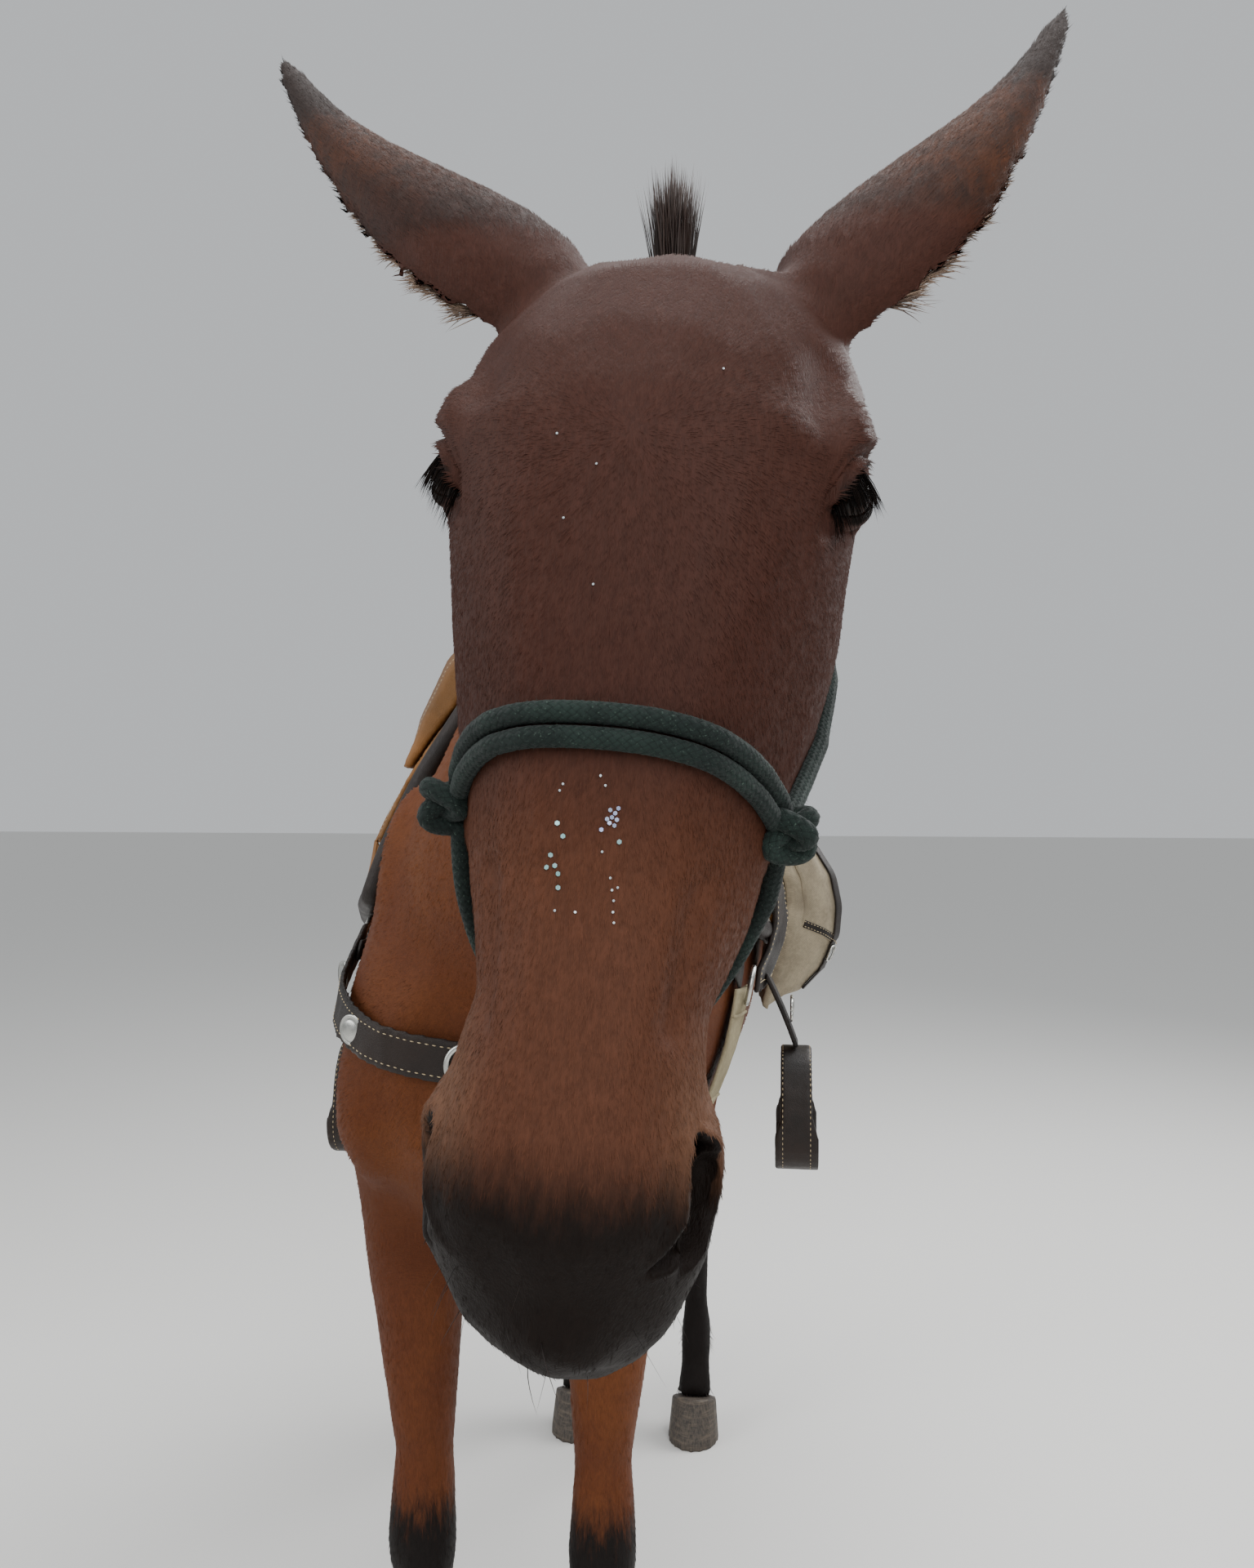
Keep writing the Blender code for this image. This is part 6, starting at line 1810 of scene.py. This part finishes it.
def sagBag(made, cap):
    # Cloth with a little pressure puffs the bag out between its seams; the move is capped
    scene = bpy.context.scene
    before = positions(made.data)
    cloth = made.modifiers.new("cloth", "CLOTH")
    for name, value in sagging.items():
        setattr(cloth.settings, name, value)
    cloth.settings.effector_weights.gravity = 0.25
    for step in range(1, 21):
        scene.frame_set(step)
        bpy.context.view_layer.update()
    applyModifiers(made)
    scene.frame_set(1)
    move = positions(made.data) - before
    size = np.linalg.norm(move, axis=1)
    moveTo(made.data, before + move * (np.minimum(size, cap) / np.maximum(size, 1e-9))[:, None])


def makeFlap(tree, side, word):
    grid, spots = gridShape(40, 36)
    places = []
    for u, v in spots:
        angle = 76 + (26 + 4.0 * math.sin(math.pi * u)) * v
        lift = 0.0016 + 0.0012 * math.sin(u * 9 + v * 5)
        places.append(onBarrel(tree, 0.632 + 0.216 * u, side * angle, lift)[0])
    setPlaces(grid, places)
    flap = newObject("saddlebagFlap_" + word, grid, cottonCanvas)
    relax(flap.data, 3)
    wall = flap.modifiers.new("wall", "SOLIDIFY")
    wall.thickness = 0.003
    wall.offset = side
    applyModifiers(flap)
    bm = bmesh.new()
    bm.from_mesh(flap.data)
    bmesh.ops.recalc_face_normals(bm, faces=bm.faces)
    bm.to_mesh(flap.data)
    bm.free()
    flap.data.shade_smooth()
    layCloth(flap)
    ride(flap, slot="canvas")
    return pieceTree(flap)


def makeBags():
    lines, straps = [], []
    for side, word in bothSides:
        bag = smoothCopy("saddlebagCanvas_" + word, "saddlebag_" + word, 0.0052, 10, cottonCanvas, "canvas",
                         0.003)
        sagBag(bag, 0.006)
        layCloth(bag)
        tree = pieceTree(bag)
        flapTree = makeFlap(tree, side, word)
        trim = [onBarrel(flapTree, 0.634 + 0.212 * k, side * (101.0 + 4.0 * math.sin(math.pi * k)))
                for k in np.linspace(0, 1, 80)]
        straps.append(strap(trim, 2, 0.012, 0.0026, 12, -0.0006))
        for inset in (0.004, -0.004):
            lines.append([(p + Vector((0, 0, inset)) + o * 0.0022, o) for p, o in trim])
        for y in (0.69, 0.79):
            run = [onBarrel(flapTree if a < 104 else tree, y, side * a) for a in np.linspace(80, 118, 40)]
            straps.append(strap(run, 2, 0.024, 0.0032, 14, 0.0006))
            spot, out = run[28]
            along = (run[29][0] - run[27][0]).normalized()
            hardware.extend(buckle(spot + out * 0.004, out, along, 0.034, 0.026))
    ride(gather("saddlebagStraps", straps, darkLeather), slot="dark_leather")
    sew("saddlebagStitching", lines, "canvas")
    layCloth(smoothCopy("saddlebagYokeCanvas", "saddlebag_yoke", 0.0042, 5, cottonCanvas, "canvas"))


def makeCinch():
    tree = nodeTree("cinch")
    cords = []
    for k in range(15):
        def twist(angle, run, phase=k * 0.9):
            return 0.14 * np.abs(np.sin(angle + run / 0.0032 + phase))**0.7 - 0.07

        path = [onBarrel(tree, 0.2195 + 0.0051 * k, a, -0.0034)[0] for a in np.linspace(113, 247, 110)]
        cords.append(tube(relaxPath(path, 2), 0.00275, 10, twist))
    for a in range(120, 241, 20):
        path = [onBarrel(tree, y, a, -0.001)[0] for y in np.linspace(0.217, 0.293, 24)]
        cords.append(tube(path, 0.003, 8, squash=0.8))
    ride(gather("cinchCords", cords, cordCotton), "cinch", slot="canvas")
    rigging = nodeTree("torso", "saddle_pad", "saddle_skirts")
    body = nodeTree("torso", "foreleg_left", "foreleg_right")
    latigos = []
    for side in (-1, 1):
        for under, y, angle, lift, radius, wire in ((rigging, 0.165, 100, 0.006, 0.026, 0.004),
                                                    (tree, 0.255, 112, 0.004, 0.024, 0.0034)):
            place, out = onBarrel(under, y, side * angle, lift)
            hardware.append(ringShape(place, out, Vector((0, 1, 0)), radius, wire))
        run = [onBarrel(body, 0.165 + 0.09 * t, side * (101 + 10.5 * t),
                        0.002 + 0.006 * math.sin(math.pi * t)) for t in np.linspace(0, 1, 30)]
        latigos.append(strap(run, 4, 0.032, 0.004, 14))
    ride(gather("latigoStraps", latigos, darkLeather), slot="dark_leather")


def makeCollar():
    tree = pieceTree(smoothCopy("breastCollarLeather", "breast_collar", 0.0031, 10, darkLeather,
                                "dark_leather"))

    def onChest(a, level=0.0):
        turn = math.radians(a)
        aim = Vector((0.0, 0.1, 1.045 + level + 0.09 * min(abs(a) / 70, 1.0)**1.3)) + shift
        away = Vector((math.sin(turn), -math.cos(turn), 0.0))
        return tree.ray_cast(aim + away, -away)[0], away

    lines = []
    for level in (-0.015, 0.015):
        line = [onChest(a, level) for a in np.linspace(-70, 70, 260)]
        lines.append([(hit, away) for hit, away in line if hit is not None])
    sew("breastCollarStitching", lines, "dark_leather", length=0.005, gap=0.0026)
    for a in (-52, -26, 0, 26, 52):
        hit, away = onChest(a)
        if a == 0:
            hardware.append(ringShape(hit + away * 0.004, away, Vector((0, 0, 1)), 0.02, 0.003))
        else:
            hardware.append(concho(hit + away * 0.001, away, 0.016))
    body = nodeTree("torso", "neck")
    straps = []
    for side in (-1, 1):
        run = []
        first = Vector((side * 0.195, -0.02, 1.135)) + shift
        last = Vector((side * 0.25, 0.165, 1.115)) + shift
        for t in np.linspace(0, 1, 24):
            spot = first.lerp(last, t)
            inward = (Vector((0.0, spot.y, spot.z - 0.05)) - spot).normalized()
            hit, out, _, _ = body.ray_cast(spot - inward * 0.3, inward)
            if hit is not None:
                run.append((hit, out))
        straps.append(strap(run, 4, 0.024, 0.004, 14, 0.002))
        hardware.extend(buckle(run[8][0] + run[8][1] * 0.008, run[8][1], (run[9][0] - run[7][0]).normalized(),
                               0.034, 0.026))
    ride(gather("collarTugs", straps, darkLeather), slot="dark_leather")


padTree = makePad()
print("pad made")
makeSaddle()
makeFenders()
print("saddle made")
makeBags()
print("bags made")
makeCinch()
makeCollar()
metal = gather("saddleHardware", hardware, steel)
ride(metal, "rigging_ring_left", "rigging_ring_right", slot="steel")
print("tack made")


# Hooves

def hoofMaterial():
    # Hoof horn: grey-brown keratin with fine growth rings and lengthwise streaks, dusty and dull
    made, add, shader = newMaterial("hoofHorn", 0.62)
    place = add("TexCoord", (), "Object")
    grain = []
    for stretch, size in (((0.12, 0.12, 1.0), 0.0045), ((1.0, 1.0, 0.1), 0.003)):
        drawn = add("VectorMath", (place, stretch), operation="MULTIPLY")
        grain.append(add("TexNoise", {"Vector": drawn, "Scale": 1 / size, "Detail": 3.0,
                                      "Roughness": 0.6}))
    rings, streaks = grain
    colour = layColours(add, "#2b2622", (
        (add("MapRange", (streaks, 0.32, 0.7), **eased), "#4d443b"),
        (add("MapRange", (rings, 0.45, 0.7, 0.0, 0.5), **eased), "#6a5d4e")))
    under = add("Bump", {"Height": rings, "Distance": 0.0012, "Strength": 0.6})
    feed(shader, {"Base Color": colour, "Normal": add("Bump", {
        "Height": streaks, "Distance": 0.0004, "Strength": 0.5, "Normal": under})})
    return made


hoofHorn = hoofMaterial()
for which in ("fore_left", "fore_right", "hind_left", "hind_right"):
    smoothCopy("hornHoof_" + which, "hoof_" + which, 0.004, 4, hoofHorn, "hoof")
print("hooves made")


# Glitter stuck to the nose hair

glitter = {  # picture places (across, down), size in millimetres and colour of each group
    "teal": ("#5fb7b0", 2.3, ((690, 1024), (759, 1031), (683, 1008), (670, 1062), (680, 1060), (684, 1070),
                              (684, 1087), (675, 1047))),
    "lavender": ("#8f97d8", 2.0, ((748, 992), (754, 996), (750, 1001), (756, 1004), (747, 1008), (753, 1011),
                                  (737, 1016), (758, 990), (744, 1003))),
    "pale": ("#c9d3d6", 1.2, ((690, 960), (686, 968), (738, 1043), (750, 1090), (752, 1103), (751, 1117),
                              (752, 1130), (680, 1115), (705, 1117), (691, 635), (731, 569), (886, 453),
                              (683, 532), (727, 716), (736, 950), (742, 962), (757, 1087), (748, 1075))),
}


view = {
    "eye": (0.3116, -1.371, 1.32),
    "yaw": 7.5,
    "focalPixels": 1507,
    "picture": (1536, 1920),
}


def pictureRay(across, down):  # from the camera through a place in the picture
    yaw = math.radians(view["yaw"])
    forward = Vector((-math.sin(yaw), math.cos(yaw), 0))
    right = Vector((math.cos(yaw), math.sin(yaw), 0))
    x = (across - view["picture"][0] / 2) / view["focalPixels"]
    z = (view["picture"][1] / 2 - down) / view["focalPixels"]
    return Vector(view["eye"]) + shift, (forward + right * x + Vector((0, 0, z))).normalized()


def makeGlitter():
    rng = np.random.default_rng(31)
    tree = pieceTree(muleSkin)
    for name, (code, size, spots) in glitter.items():
        # Cut polyester film: small flat discs, metallic, with a shifting tint
        made, add, shader = newMaterial("glitterFilm_" + name, 0.35, metallic=0.45)
        place = add("TexCoord", (), "Object")
        tone = add("TexNoise", {"Vector": place, "Scale": 1 / 0.002, "Detail": 1.0,
                                "Roughness": 0.55})
        feed(shader, {"Base Color": layColours(add, code, ((tone, "#b9c9cf"),))})
        discs = []
        for across, down in spots:
            hit, out, _, _ = tree.ray_cast(*pictureRay(across, down))
            tilt = (out + Vector(rng.normal(0, 0.16, 3))).normalized()
            bm = bmesh.new()
            bmesh.ops.create_cone(bm, cap_ends=True, segments=6, radius1=size * 0.0005,
                                  radius2=size * 0.0005, depth=0.00015)
            turn = tilt.to_track_quat("Z", "Y").to_matrix().to_4x4()
            turn.translation = hit + out * 0.001
            bm.transform(turn)
            discs.append(bm)
        ride(gather("noseGlitter_" + name, discs, made, smooth=False), slot="steel")


# Camera, floor and light

def makeCamera():
    data = bpy.data.cameras.new("photoView")
    data.sensor_width = 36.0
    data.lens = view["focalPixels"] * 36.0 / view["picture"][1]
    data.clip_start = 0.05
    made = bpy.data.objects.new("photoView", data)
    made.location = Vector(view["eye"]) + shift
    made.rotation_euler = (math.radians(90), 0.0, math.radians(view["yaw"]))
    bpy.context.scene.collection.objects.link(made)
    bpy.context.scene.camera = made


lights = {  # place relative to the origin, size and watts
    "frontSoft": ((1.2, -3.6, 3.0), 2.6, 90),
    "leftSoft": ((-3.2, -1.6, 2.6), 2.4, 60),
    "backRight": ((2.4, 2.2, 3.6), 2.2, 150),
    "topSoft": ((0.2, 0.0, 4.4), 3.2, 110),
}


def makeStage():
    bm = bmesh.new()
    bmesh.ops.create_grid(bm, x_segments=1, y_segments=1, size=30.0)
    made, _, shader = newMaterial("paleFloor", 0.8)
    feed(shader, {"Base Color": linear("#d9d8d5")})
    newObject("floor", bm, made, smooth=False)
    world = bpy.data.worlds.new("studio")
    world.use_nodes = True
    sky = world.node_tree.nodes["Background"].inputs
    sky["Color"].default_value = linear("#e4e7ea")
    sky["Strength"].default_value = 0.75
    bpy.context.scene.world = world
    for name, (place, size, power) in lights.items():
        data = bpy.data.lights.new(name, "AREA")
        data.size = size
        data.energy = power
        lamp = bpy.data.objects.new(name, data)
        lamp.location = place
        aim = Vector((0.1, -0.3, 1.0)) - lamp.location
        lamp.rotation_euler = aim.to_track_quat("-Z", "Y").to_euler()
        bpy.context.scene.collection.objects.link(lamp)


makeCamera()
makeStage()
makeGlitter()
print("stage made")
